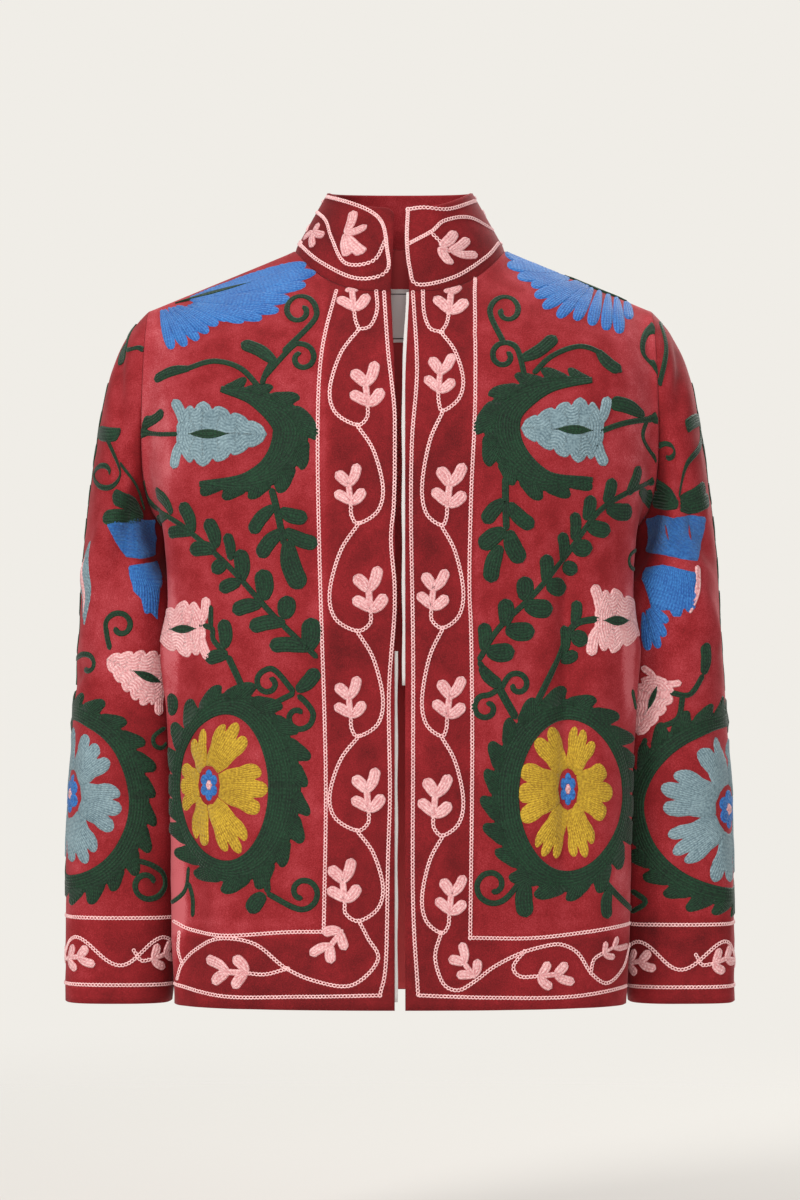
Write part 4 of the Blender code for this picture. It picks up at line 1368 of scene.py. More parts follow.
def leafy_band(work, rows, outward):
    """A curved green band with lobes on one side, from rows of x, y and width."""
    fine = spline(rows, 10)
    line = work.chart.spread_out(fine[:, :2])
    work.band(line, fine[:, 2] * SQUARE_SIZE, "green", BAND_PROFILE)
    leaves_along(work, fine[:, :2], fine[:, 2], outward, CRESCENT_LOBE, CRESCENT_LOBE * 0.42)


def wreath(work, middle, halves, thin, thick, heavy, lobe):
    """A green oval ring with lobes outside. heavy is the angle of its widest side."""
    turn = np.linspace(0.0, 2 * math.pi, 73)
    fine = round_oval(middle, halves, turn)
    widths = thin + (thick - thin) * (1 + np.cos(turn - math.radians(heavy))) / 2
    line = work.chart.spread_out(fine[:-1])
    work.band(line, widths[:-1] * SQUARE_SIZE, "green", BAND_PROFILE, closed=True)
    leaves_along(work, fine, widths, -1.0, lobe, lobe * 0.50)


def narrow_eye(work, places, width, thread):
    """A narrow pointed band on top of a filled shape."""
    line = even(work.chart.spread_out(smooth(places)), 20)
    widths = width * SQUARE_SIZE * np.maximum(np.sin(np.linspace(0, math.pi, 21)), 0.15)
    work.band(line, widths, thread, LEAF_PROFILE, height=THREAD_HEIGHT * 1.75)


def half_flower(work, hub, petals):
    """Blue petals that fan out of a narrow green hub."""
    fingers(work, petals, "blue")
    narrow_eye(work, hub, 8, "green")


def tulip_flower(work, nose, tail, spread, thread, scallops=5):
    """A tulip from the side: a scalloped body with an eye in it, and two arms at its tail."""
    nose, tail = np.array(nose, float), np.array(tail, float)
    ahead = tail - nose
    for side in (-left_of(ahead) * spread, left_of(ahead) * spread):
        work.leaf(nose + ahead * 0.91 + side * 0.12, nose + ahead * 1.03 + side * 1.08, spread * 0.38, thread)
    work.fill(tulip(nose, tail, spread, scallops), thread)
    narrow_eye(work, [nose + ahead * share for share in (0.42, 0.64, 0.86)], spread * 0.34, "green")


# Leaves of a sprig: how far up its stem each starts, how far it goes up and sideways, and its width
SPRIG_LEAVES = (
    (0.0, 15.0, 15.5, 12.0),
    (1.0, 13.0, -16.0, 11.5),
    (19.0, 23.0, 11.5, 11.5),
    (19.0, 16.0, -12.5, 12.5),
)


def sprig(work, x, y, angle=0.0, size=1.0):
    """A small pink sprig of two pairs of leaves. Angle 0 stands up, and positive leans to the right."""
    lean = math.radians(angle)
    up = np.array([math.sin(lean), -math.cos(lean)]) * size
    right = np.array([math.cos(lean), math.sin(lean)]) * size
    base = np.array([x, y], float)
    for rise, along, reach, width in SPRIG_LEAVES:
        foot = base + up * rise
        work.leaf(foot, foot + up * along + right * reach, width * size, "pink")
    work.stem([base - up * 2.0, base + up * 26.0], 7.0 * size, "pink")


VINE_HOOK = 19.0  # how far under its sprig a vine turns up


def vine(work, sprigs, middle, swings):
    """A pink chain that swings out beside each sprig of a border and comes up under it in a hook."""
    bottom = None
    for k, (x, y) in enumerate(sprigs):
        side = 1.0 if x > middle else -1.0
        swing = side * (swings[0] if side < 0 else swings[1])
        below = (middle - side, y + VINE_HOOK)
        if bottom is None:
            work.chain_through([(x, y), (x + (below[0] - x) * 0.3, y + VINE_HOOK * 0.55), below])
        else:
            height = y - bottom[1]
            out = [(middle - swing * 0.62, bottom[1] + height * 0.32), (middle - swing, y - height * 0.22)]
            out.append((middle - swing * 0.80, y + VINE_HOOK * 0.35))
            work.chain_through([bottom, *out, below, (x - side, y + VINE_HOOK * 0.62), (x, y)])
        sprig(work, x, y, angle=6.0 * side * (-1) ** k, size=1.0 + 0.06 * math.sin(2.6 * k + middle))
        bottom = below
    return bottom


# Rows of a motif table. A stem has a width and the places that it passes; a curl has a width, its start,
# its centre, a radius, the angle where it begins and its turns; a leaf has its base, its tip and a width.
RIGHT_FRONT_STEMS = (
    (5, (272, 362), (266, 373), (262, 385)),
    (5, (156, 378), (185, 369), (213, 361), (240, 368), (260, 388)),
    (4, (139, 432), (158, 434), (178, 434)),
    (6, (272, 488), (278, 512), (285, 545)),
    (5, (140, 482), (150, 505), (185, 528), (228, 565), (275, 616), (318, 657)),
    (5, (198, 625), (212, 628), (214, 640), (228, 655)),
    (5, (211, 605), (211, 628)),
    (6, (228, 655), (242, 685), (256, 716)),
    (5, (256, 716), (274, 703), (295, 692)),
    (4, (188, 868), (184, 892), (168, 907)),
    (5, (188, 884), (192, 900), (192, 918)),
    (6, (266, 866), (268, 892)),
)
RIGHT_FRONT_CURLS = (
    (5, (283, 352), (299, 310), 18, 40, -1.25),
    (5, (262, 380), (302, 358), 15, 225, 1.10),
    (5, (295, 692), (269, 682), 14, 300, -1.05),
    (5, (298, 694), (299, 716), 16, -60, 1.05),
    (5, (267, 892), (303, 891), 18, 125, -1.10),
    (3, (150, 560), (151, 576), 9, -80, 0.80),
)
RIGHT_FRONT_LEAVES = (
    (276, 363, 241, 343, 11),
    (141, 424, 163, 411, 9),
    (190, 368, 153, 379, 9),
    (275, 506, 252, 533, 11),
    (280, 510, 308, 518, 12),
    (283, 530, 260, 557, 12),
    (285, 530, 318, 544, 12),
    (288, 540, 302, 588, 16),
    (172, 514, 155, 492, 11),
    (168, 515, 148, 530, 9),
    (193, 533, 181, 503, 12),
    (193, 533, 168, 533, 10),
    (217, 548, 207, 519, 12),
    (217, 550, 190, 550, 12),
    (231, 560, 227, 533, 9),
    (228, 562, 213, 572, 12),
    (241, 582, 240, 549, 13),
    (241, 582, 220, 590, 11),
    (264, 600, 262, 569, 15),
    (262, 604, 233, 611, 12),
    (284, 618, 287, 595, 15),
    (286, 622, 250, 627, 12),
    (308, 650, 311, 617, 16),
    (310, 648, 270, 645, 12),
    (225, 648, 223, 619, 12),
    (228, 655, 206, 660, 11),
    (297, 690, 318, 668, 12),
    (170, 716, 170, 694, 13),
    (265, 893, 250, 912, 13),
)
RIGHT_CRESCENT = (
    (221, 389, 7),
    (258, 399, 20),
    (290, 426, 36),
    (280, 462, 32),
    (248, 482, 20),
    (200, 484, 6),
)
RIGHT_SHOULDER_HUB = ((172, 301), (212, 291), (250, 281))
RIGHT_SHOULDER_PETALS = (
    (184, 297, 306, 262, 20),
    (186, 298, 316, 270, 18),
    (188, 299, 306, 283, 18),
    (190, 300, 290, 298, 18),
    (190, 301, 279, 310, 17),
    (188, 302, 262, 318, 16),
    (186, 303, 244, 321, 14),
    (184, 303, 228, 319, 12),
    (172, 303, 218, 324, 15),
    (168, 304, 208, 332, 15),
    (164, 304, 198, 340, 15),
    (160, 305, 185, 346, 15),
    (157, 305, 171, 349, 15),
)


LEFT_FRONT_STEMS = (
    (5, (533, 374), (552, 356), (580, 346), (603, 354), (622, 372)),
    (5, (661, 370), (645, 352), (650, 330), (673, 321)),
    (5, (596, 433), (625, 423), (659, 418)),
    (5, (648, 420), (644, 438), (658, 460)),
    (5, (656, 481), (625, 494), (597, 513), (568, 552), (535, 592), (498, 628), (478, 660)),
    (5, (478, 660), (488, 674), (500, 684)),
    (6, (505, 476), (505, 500), (506, 530)),
    (7, (498, 686), (508, 704), (516, 718)),
    (6, (600, 618), (573, 626), (556, 662), (530, 715)),
    (6, (598, 874), (614, 892), (633, 912)),
    (5, (633, 690), (637, 710)),
)
LEFT_FRONT_CURLS = (
    (5, (525, 378), (504, 356), 15, -20, -1.10),
    (5, (504, 343), (507, 310), 17, 160, 1.10),
    (5, (500, 690), (517, 684), 13, 195, 1.00),
    (5, (498, 688), (486, 707), 14, -75, -1.05),
    (4, (650, 545), (640, 562), 12, -100, -1.00),
    (5, (522, 878), (492, 884), 19, 45, 1.15),
)
LEFT_FRONT_LEAVES = (
    (519, 360, 556, 336, 11),
    (598, 350, 621, 371, 10),
    (645, 415, 610, 402, 12),
    (628, 494, 640, 466, 12),
    (640, 490, 658, 502, 12),
    (605, 503, 612, 478, 11),
    (606, 508, 632, 512, 14),
    (585, 520, 590, 495, 11),
    (586, 523, 610, 531, 13),
    (573, 540, 574, 512, 9),
    (572, 545, 592, 548, 14),
    (562, 560, 561, 532, 10),
    (563, 563, 577, 571, 12),
    (545, 583, 545, 554, 12),
    (546, 583, 566, 587, 15),
    (523, 600, 523, 576, 14),
    (524, 604, 552, 608, 15),
    (504, 625, 504, 598, 13),
    (505, 628, 534, 630, 15),
    (483, 650, 483, 622, 11),
    (486, 650, 514, 650, 15),
    (505, 500, 484, 523, 12),
    (508, 503, 533, 527, 12),
    (505, 530, 480, 548, 14),
    (508, 530, 522, 562, 14),
    (500, 545, 490, 582, 13),
    (480, 665, 500, 685, 10),
    (573, 625, 576, 600, 9),
    (572, 632, 587, 642, 13),
    (563, 655, 563, 625, 9),
    (560, 660, 577, 652, 10),
    (526, 880, 526, 916, 14),
    (610, 888, 608, 919, 11),
)
LEFT_CRESCENT = (
    (592, 380, 7),
    (545, 386, 19),
    (505, 412, 36),
    (508, 450, 34),
    (543, 480, 22),
    (592, 480, 6),
)
LEFT_SHOULDER_HUB = ((568, 270), (600, 279), (633, 292))
LEFT_SHOULDER_PETALS = (
    (572, 268, 506, 249, 18),
    (572, 269, 508, 262, 17),
    (572, 271, 518, 275, 16),
    (573, 272, 532, 284, 15),
    (574, 273, 549, 287, 13),
    (590, 277, 535, 295, 16),
    (592, 278, 543, 307, 16),
    (594, 279, 558, 317, 16),
    (597, 281, 576, 320, 16),
    (604, 284, 592, 325, 16),
    (612, 287, 607, 330, 16),
    (620, 290, 621, 333, 16),
    (630, 293, 632, 318, 14),
)


RIGHT_SLEEVE_STEMS = (
    (5, (168, 303), (140, 312), (126, 332), (122, 352)),
    (4, (118, 463), (134, 485), (142, 510)),
)
RIGHT_SLEEVE_CURLS = (
    (5, (124, 348), (135, 358), 13, -130, 0.80),
    (5, (102, 433), (102, 474), 17, -30, 1.10),
    (5, (108, 651), (118, 627), 16, 150, 1.05),
    (5, (120, 692), (83, 667), 15, 110, 1.00),
    (5, (135, 864), (145, 888), 20, -80, 1.20),
    (4, (163, 730), (160, 744), 11, -100, -0.70),
)
RIGHT_SLEEVE_LEAVES = (
    (122, 342, 120, 362, 13),
    (90, 430, 118, 434, 12),
    (140, 515, 111, 496, 14),
    (138, 520, 101, 518, 12),
    (139, 512, 125, 499, 10),
)
# Outlines of the halves of the blue sleeve flowers
RIGHT_SLEEVE_HALVES = (
    (
        (104, 524), (112, 519), (122, 521), (132, 517), (143, 520), (153, 519),
        (154, 540), (153, 556), (138, 560), (124, 558), (113, 542),
    ),
    (
        (126, 566), (140, 564), (154, 561), (158, 590), (156, 622),
        (149, 614), (143, 616), (139, 600), (131, 592),
    ),
)


LEFT_SLEEVE_STEMS = (
    (5, (664, 320), (669, 348), (661, 385)),
    (6, (704, 425), (703, 446), (688, 466), (681, 497)),
    (4, (708, 438), (713, 455), (715, 470)),
    (5, (706, 676), (692, 696), (672, 694)),
    (5, (685, 697), (680, 720), (660, 730)),
    (5, (648, 740), (642, 756)),
    (5, (634, 895), (648, 906), (634, 917)),
)
LEFT_SLEEVE_CURLS = ((5, (684, 463), (669, 453), 14, 70, 1.10),)
LEFT_SLEEVE_LEAVES = (
    (705, 418, 688, 427, 11),
    (680, 505, 655, 482, 10),
    (680, 505, 640, 500, 14),
    (682, 500, 708, 487, 11),
    (682, 508, 712, 500, 12),
    (706, 676, 708, 644, 11),
)
LEFT_SLEEVE_HALVES = (
    (
        (645, 517), (660, 515), (676, 518), (692, 515), (709, 517), (707, 534),
        (703, 549), (700, 562), (684, 560), (666, 556), (648, 552),
    ),
    (
        (648, 568), (665, 565), (682, 569), (699, 573), (698, 588), (700, 600), (697, 610),
        (690, 614), (686, 609), (683, 618), (675, 618), (671, 611), (664, 612), (652, 606),
    ),
)
LEFT_SLEEVE_FINGERS = (
    (652, 606, 670, 624, 12),
    (650, 608, 667, 638, 13),
    (648, 610, 661, 650, 13),
    (645, 612, 650, 652, 13),
)


# Sprigs up each front border, on the chart
RIGHT_BORDER = ((354, 310), (368, 406), (351, 504), (371, 611), (351, 716), (369, 810), (345, 900))
LEFT_BORDER = ((449, 313), (438, 392), (447, 506), (431, 608), (447, 716), (433, 815), (449, 912))
STEM_FULLNESS = 1.3  # width of a stem against its table
LEAF_FULLNESS = 1.32
CUFF_WAVES = 4


def stems_and_leaves(work, stems, curls, leaves):
    """The green growth of a panel."""
    for width, *places in stems:
        work.stem(places, width * STEM_FULLNESS)
    for width, start, centre, radius, first, turns in curls:
        work.stem(curl(start, centre, radius, first, turns), width * STEM_FULLNESS)
    for base_x, base_y, tip_x, tip_y, width in leaves:
        work.leaf((base_x, base_y), (tip_x, tip_y), width * LEAF_FULLNESS)


def right_field(work):
    """The main motifs of the wearer's right front, which the back repeats."""
    stems_and_leaves(work, RIGHT_FRONT_STEMS, RIGHT_FRONT_CURLS, RIGHT_FRONT_LEAVES)
    leafy_band(work, RIGHT_CRESCENT, -1.0)
    wreath(work, (230, 787), (55, 84), 12, 34, 0, 23)
    groups = ((-28, 30, 3), (42, 94, 3), (106, 144, 2), (154, 206, 3), (216, 250, 2), (260, 318, 3))
    flower(work, (209, 785), (11, 20), (223, 788), (44, 68), groups, "yellow")
    half_flower(work, RIGHT_SHOULDER_HUB, RIGHT_SHOULDER_PETALS)
    tulip_flower(work, (268, 434), (176, 434), 32, "grey")
    tulip_flower(work, (144, 631), (206, 628), 29, "pink", scallops=4)


def left_field(work):
    """The main motifs of the wearer's left front, which the back repeats."""
    stems_and_leaves(work, LEFT_FRONT_STEMS, LEFT_FRONT_CURLS, LEFT_FRONT_LEAVES)
    leafy_band(work, LEFT_CRESCENT, 1.0)
    wreath(work, (566, 795), (61, 86), 15, 28, 180, 23)
    groups = ((222, 264, 2), (274, 318, 3), (328, 392, 3), (40, 86, 3), (94, 138, 3), (148, 212, 3))
    flower(work, (568, 789), (10, 21), (564, 793), (48, 70), groups, "yellow")
    half_flower(work, LEFT_SHOULDER_HUB, LEFT_SHOULDER_PETALS)
    tulip_flower(work, (520, 428), (604, 431), 32, "grey")
    tulip_flower(work, (654, 622), (594, 620), 33, "pink", scallops=4)


def right_front_work(work):
    """The embroidery of the wearer's right front."""
    right_field(work)
    work.chain_through([(338, 282), (322, 350), (318, 430), (320, 560), (326, 770), (324, 930)])
    hem = [(324, 930), (285, 931), (225, 935), (190, 931), (173, 924)]
    work.chain_through(hem)
    edge = [(384, 292), (388, 350), (395, 420), (394, 500), (391, 540), (395, 600), (389, 690), (390, 790)]
    work.chain_through([*edge, (388, 860), (386, 960), (380, 993)])
    work.chain_through([(380, 993), (300, 995), (225, 996), (173, 987)])
    work.chain_through([(376, 288), (377, 310), (370, 326), (359, 329)])
    crossing = vine(work, RIGHT_BORDER, 358, (25.0, 28.0))
    around = [crossing, (368, 936), (378, 958), (352, 983), (315, 979), (285, 966)]
    work.chain_through([*around, (255, 943), (220, 938), (196, 950), (181, 966), (176, 981)])
    work.chain_through([(181, 966), (177, 952), (178, 935)])
    work.chain_through([(288, 967), (266, 973), (246, 972)])
    sprig(work, 342, 929, angle=217.0, size=0.92)
    sprig(work, 248, 972, angle=-88.0)


def left_front_work(work):
    """The embroidery of the wearer's left front."""
    left_field(work)
    work.chain_through([(475, 276), (475, 400), (471, 490), (469, 580), (471, 640), (472, 760), (470, 936)])
    work.chain_through([(470, 936), (530, 937), (585, 932), (631, 926)])
    edge = [(413, 292), (417, 370), (412, 440), (411, 520), (413, 640), (413, 760), (413, 900)]
    work.chain_through([*edge, (418, 992)])
    work.chain_through([(420, 993), (500, 996), (574, 996), (635, 988)])
    work.chain_through([(423, 290), (424, 312), (430, 328), (442, 332)])
    crossing = vine(work, LEFT_BORDER, 442, (21.0, 20.0))
    around = [crossing, (435, 955), (443, 981), (458, 988), (475, 979), (494, 965), (520, 952), (545, 945)]
    work.chain_through([*around, (562, 944), (578, 953), (592, 974), (608, 984), (624, 970), (631, 948)])
    work.chain_through([(524, 950), (513, 965), (520, 975), (538, 975)])
    work.chain_through([(591, 973), (594, 960), (604, 953)])
    sprig(work, 474, 975, angle=-36.0, size=0.85)
    sprig(work, 538, 975, angle=85.0, size=0.85)
    sprig(work, 603, 954, angle=62.0, size=0.60)


def back_work(work):
    """The embroidery of the back: the two fields moved inwards, a middle stem and a hem border."""
    work.chart.shift = -26.0
    left_field(work)
    work.chart.shift = 26.0
    right_field(work)
    work.chart.shift = 0.0
    work.stem([(400, 905), (397, 700), (402, 500), (400, 320)], 6)
    for k, y in enumerate(np.arange(345.0, 890.0, 42.0)):
        reach = 30.0 + 4.0 * math.sin(1.7 * k)
        for side in (-1.0, 1.0):
            work.leaf((400 + side, y + 12), (400 + side * reach, y - 8 - 3 * (k % 2)), 12 + 2 * (k % 2))
    work.leaf((400, 325), (400, 294), 14)
    left, right = 172.0, 628.0
    for y in (930.0, 994.0):
        work.chain_through([(left, y - 4), (286, y), (400, y + 1), (514, y), (right, y - 4)])
    waves = np.linspace(left + 4, right - 4, 29)
    height = 963.0 + 15.0 * np.cos((waves - left) / (right - left) * 2 * math.pi * 5)
    work.chain_through(np.stack([waves, height], axis=1))
    for k in range(5):
        x = left + 4 + (right - left - 8) * (k + 0.5) / 5
        sprig(work, x - 8, 966, angle=90.0, size=0.85)


def cuff_work(work, top, low):
    """Two chains, a vine and sprigs round a cuff."""
    flat = work.chart.by_spread.corners
    near = flat[np.abs(flat[:, 1] - (top + low) / 2) < 0.006, 0]
    start, stop = near.min() + 0.0008, near.max() - 0.0008
    for height in (top, low):
        across = np.linspace(start, stop, 61)
        work.chain(np.stack([across, np.full_like(across, height)], axis=1))
    fold, middle = work.chart.fold_at, CHART_SHOULDER - (top + low) / 2 / SQUARE_SIZE
    reach = np.linspace(start, stop, 49) / SQUARE_SIZE
    height = middle + 14.0 * np.cos((reach - reach[0]) / (reach[-1] - reach[0]) * 2 * math.pi * CUFF_WAVES)
    work.chart.rounds = True
    work.chain_through(np.stack([fold + reach, height], axis=1))
    for k in range(CUFF_WAVES):
        x = fold + reach[0] + (reach[-1] - reach[0]) * (k + 0.5) / CUFF_WAVES
        work.chain_through([(x - 32, middle - 1), (x - 25, middle + 9), (x - 14, middle + 8)])
        sprig(work, x - 14, middle + 8, angle=78.0 + 5.0 * (-1) ** k, size=0.82)
    work.chart.rounds = False


def outer_growth(work, x, top, low):
    """A stem with pairs of leaves up the outer line of a sleeve."""
    work.stem([(x, low), (x + 4, (low + top) / 2), (x - 2, top)], 6)
    for k, y in enumerate(np.arange(top + 14.0, low - 24.0, 38.0)):
        for side in (-1.0, 1.0):
            work.leaf((x + side, y + 13), (x + side * (23 + 3 * (k % 2)), y - 6 - 4 * (k % 2)), 14)
    work.leaf((x - 2, top + 4), (x - 3, top - 22), 14)


def right_sleeve_work(work):
    """The embroidery of the wearer's right sleeve, its far side like its near side."""
    for work.chart.turned in (False, True):
        stems_and_leaves(work, RIGHT_SLEEVE_STEMS, RIGHT_SLEEVE_CURLS, RIGHT_SLEEVE_LEAVES)
        for outline in RIGHT_SLEEVE_HALVES:
            work.fill(outline, "blue", axis=((135, 560), (140, 600)))
        tulip_flower(work, (104, 660), (168, 688), 29, "pink", scallops=6)
    work.chart.turned = False
    work.chart.rounds = True
    outer_growth(work, RIGHT_SLEEVE_FOLD, 400.0, 688.0)
    for side in (-1.0, 1.0):
        nose, tail = (RIGHT_SLEEVE_FOLD + side * 64, 538), (RIGHT_SLEEVE_FOLD + side * 55, 628)
        work.fill(lens(nose, tail, 27), "grey", axis=(nose, tail))
        narrow_eye(work, [(nose[0] - side, 556), (nose[0] - side * 5, 584), (tail[0] + side, 612)], 8, "pink")
    wreath(work, (104, 801), (84, 88), 18, 21, 0, 24)
    groups = ((284, 336, 3), (345, 396, 3), (44, 92, 3), (100, 150, 3), (158, 212, 3), (220, 274, 3))
    flower(work, (105, 797), (23, 25), (104, 800), (67, 71), groups, "grey")
    work.chart.rounds = False
    cuff_work(work, -0.594, -0.654)


def left_sleeve_work(work):
    """The embroidery of the wearer's left sleeve, its far side like its near side."""
    for work.chart.turned in (False, True):
        stems_and_leaves(work, LEFT_SLEEVE_STEMS, LEFT_SLEEVE_CURLS, LEFT_SLEEVE_LEAVES)
        fingers(work, LEFT_SLEEVE_FINGERS, "blue")
        for outline in LEFT_SLEEVE_HALVES:
            work.fill(outline, "blue", axis=((680, 560), (676, 600)))
        for x in (668, 690):
            narrow_eye(work, [(x, 524), (x + 1, 533), (x + 3, 542)], 4, "red")
        tulip_flower(work, (640, 738), (663, 678), 20, "pink")
        work.leaf((692, 614), (700, 566), 7, "pink")
    work.chart.turned = False
    work.chart.rounds = True
    outer_growth(work, LEFT_SLEEVE_FOLD, 400.0, 694.0)
    wreath(work, (707, 811), (118, 91), 18, 20, 180, 24)
    low_groups = ((34, 78, 3), (86, 118, 2), (126, 166, 3), (174, 222, 3))
    groups = (*low_groups, (230, 266, 2), (276, 330, 3), (338, 386, 3))
    flower(work, (698, 813), (25, 25), (702, 813), (89, 76), groups, "grey")
    work.chart.rounds = False
    cuff_work(work, -0.600, -0.656)


def collar_work(work):
    """Chain lines and a sprig on each half of the collar."""
    right = [(322, 192), (350, 201), (372, 211), (383, 224), (387, 248), (388, 268), (374, 277)]
    work.chain_through([*right, (350, 276), (318, 259), (297, 240)])
    work.chain_through([(313, 206), (325, 218), (331, 236), (345, 262), (373, 260), (386, 238)])
    for tip in ((353, 209), (367, 224), (348, 255), (363, 253)):
        work.leaf((345, 232), tip, 11, "pink")
    for tip in ((318, 220), (302, 236), (312, 245), (324, 233)):
        work.leaf((312, 229), tip, 10, "pink")
    left = [(408, 208), (424, 206), (450, 207), (480, 196)]
    work.chain_through(left)
    front = [(408, 208), (407, 240), (410, 268), (418, 284), (455, 276), (487, 255), (500, 240)]
    work.chain_through(front)
    work.chain_through([(410, 242), (432, 230), (445, 219), (470, 215), (494, 226)])
    work.chain_through([(431, 231), (437, 237), (443, 243)])
    low, high = (441, 246), (450, 250)
    for base, tip in ((low, (456, 230)), (high, (469, 237)), (high, (478, 253)), (low, (452, 264))):
        work.leaf(base, tip, 11, "pink")
    work.stem([(441, 246), (451, 251)], 8, "pink")
    work.chart.rounds = True
    work.chain_through([(278, 189), (332, 198), (400, 201), (468, 197), (518, 185)])
    work.chain_through([(241, 236), (332, 238), (400, 238), (480, 238), (542, 239)])
    work.chain_through([(257, 222), (320, 211), (377, 229), (434, 211), (485, 229), (525, 201)])
    for x, y in ((448, 226), (391, 213), (334, 226)):
        sprig(work, x, y, angle=88.0, size=0.5)
    work.chart.rounds = False


# Thread colours: painted shade in their hollows, painted light on their crests
THREAD_COLOURS_SHADED_AND_LIT = {
    "green": ((0.0012, 0.010, 0.0040), (0.0085, 0.056, 0.021)),
    "pink": ((0.560, 0.200, 0.210), (0.940, 0.610, 0.605)),
    "blue": ((0.012, 0.075, 0.300), (0.045, 0.235, 0.600)),
    "grey": ((0.095, 0.155, 0.185), (0.310, 0.430, 0.470)),
    "yellow": ((0.270, 0.145, 0.008), (0.720, 0.465, 0.032)),
    "red": ((0.140, 0.008, 0.012), (0.330, 0.022, 0.030)),
}


def thread_finish(name, hollow, crest):
    """Cotton thread in rows of chain stitch, its colour painted darker as shade in the grooves between rows
    and stitches. The mesh says how far in and how far along each place is.
    """
    finish = Finish(name + " thread")
    rows = finish.node("ShaderNodeUVMap", {"uv_map": "rows"}, {})
    inward = finish.node("ShaderNodeSeparateXYZ", {}, {"Vector": rows}, "X")
    along = finish.node("ShaderNodeSeparateXYZ", {}, {"Vector": rows}, "Y")
    row = inward * (1 / ROW)
    lean = (row.fraction() * 2 - 1).size()
    ridge = 0.5 - (row * (2 * math.pi)).cosine() * 0.5
    stitch = 0.5 - ((along * (1 / LINK) + lean * 0.35) * (2 * math.pi)).cosine() * 0.5
    fuzz = finish.cloud(finish.place(), 520.0, 3.0)
    shade = finish.cloud(finish.place(), 45.0, 2.0)
    height = ridge * (0.35 + stitch * 0.65)
    # painted shade: colour follows the stitch height, darker in the grooves, with random fuzz and patches
    share = height * 0.55 + (fuzz - 0.5) * 1.5 + (shade - 0.5) * 0.5 + 0.22
    finish.set(
        Base_Color=finish.blend(share, hollow, crest),
        Roughness=0.72,
        Specular_IOR_Level=0.3,
        Sheen_Weight=0.15,
        Sheen_Roughness=0.4,
        Normal=finish.bump(height + fuzz * 0.25, 0.8, 0.0007),
    )
    return finish.material


# Embroidery of each piece of cloth
EMBROIDERY = {
    "left_front": left_front_work,
    "right_front": right_front_work,
    "back": back_work,
    "left_sleeve": left_sleeve_work,
    "right_sleeve": right_sleeve_work,
    "collar": collar_work,
}

# Outer lines of the sleeves on the chart, and the edges of the darker bands
RIGHT_SLEEVE_FOLD = 62.0
LEFT_SLEEVE_FOLD = 740.0
BAND_EDGE = 0.067
HEM_BAND = -0.602
CUFF_BAND = -0.594

# Neck label, and the tapes behind the front edges with their top and lower ends
LABEL_WIDTH = 0.045
LABEL_LENGTH = 0.048
LABEL_TOP = -0.032
LABEL_THICK = 0.0007
LABEL_PUFF = 0.0008  # how far its middle stands off
LABEL_POINTS = 25
LABEL_LINES = (-0.0365, -0.0765)
LABEL_LINE_HALF = 0.0005
LABEL_CLEARANCE = 0.0010
TAPE_ACROSS = (0.0040, 0.0010, -0.0026)  # from the front's edge, less than zero in the gap
TAPE_SWAY = 0.0003
TAPE_THICK = 0.0006
TAPE_CLEARANCE = 0.0003
TAPES = {"left_front": (-0.030, -0.390), "right_front": (-0.350, -0.664)}


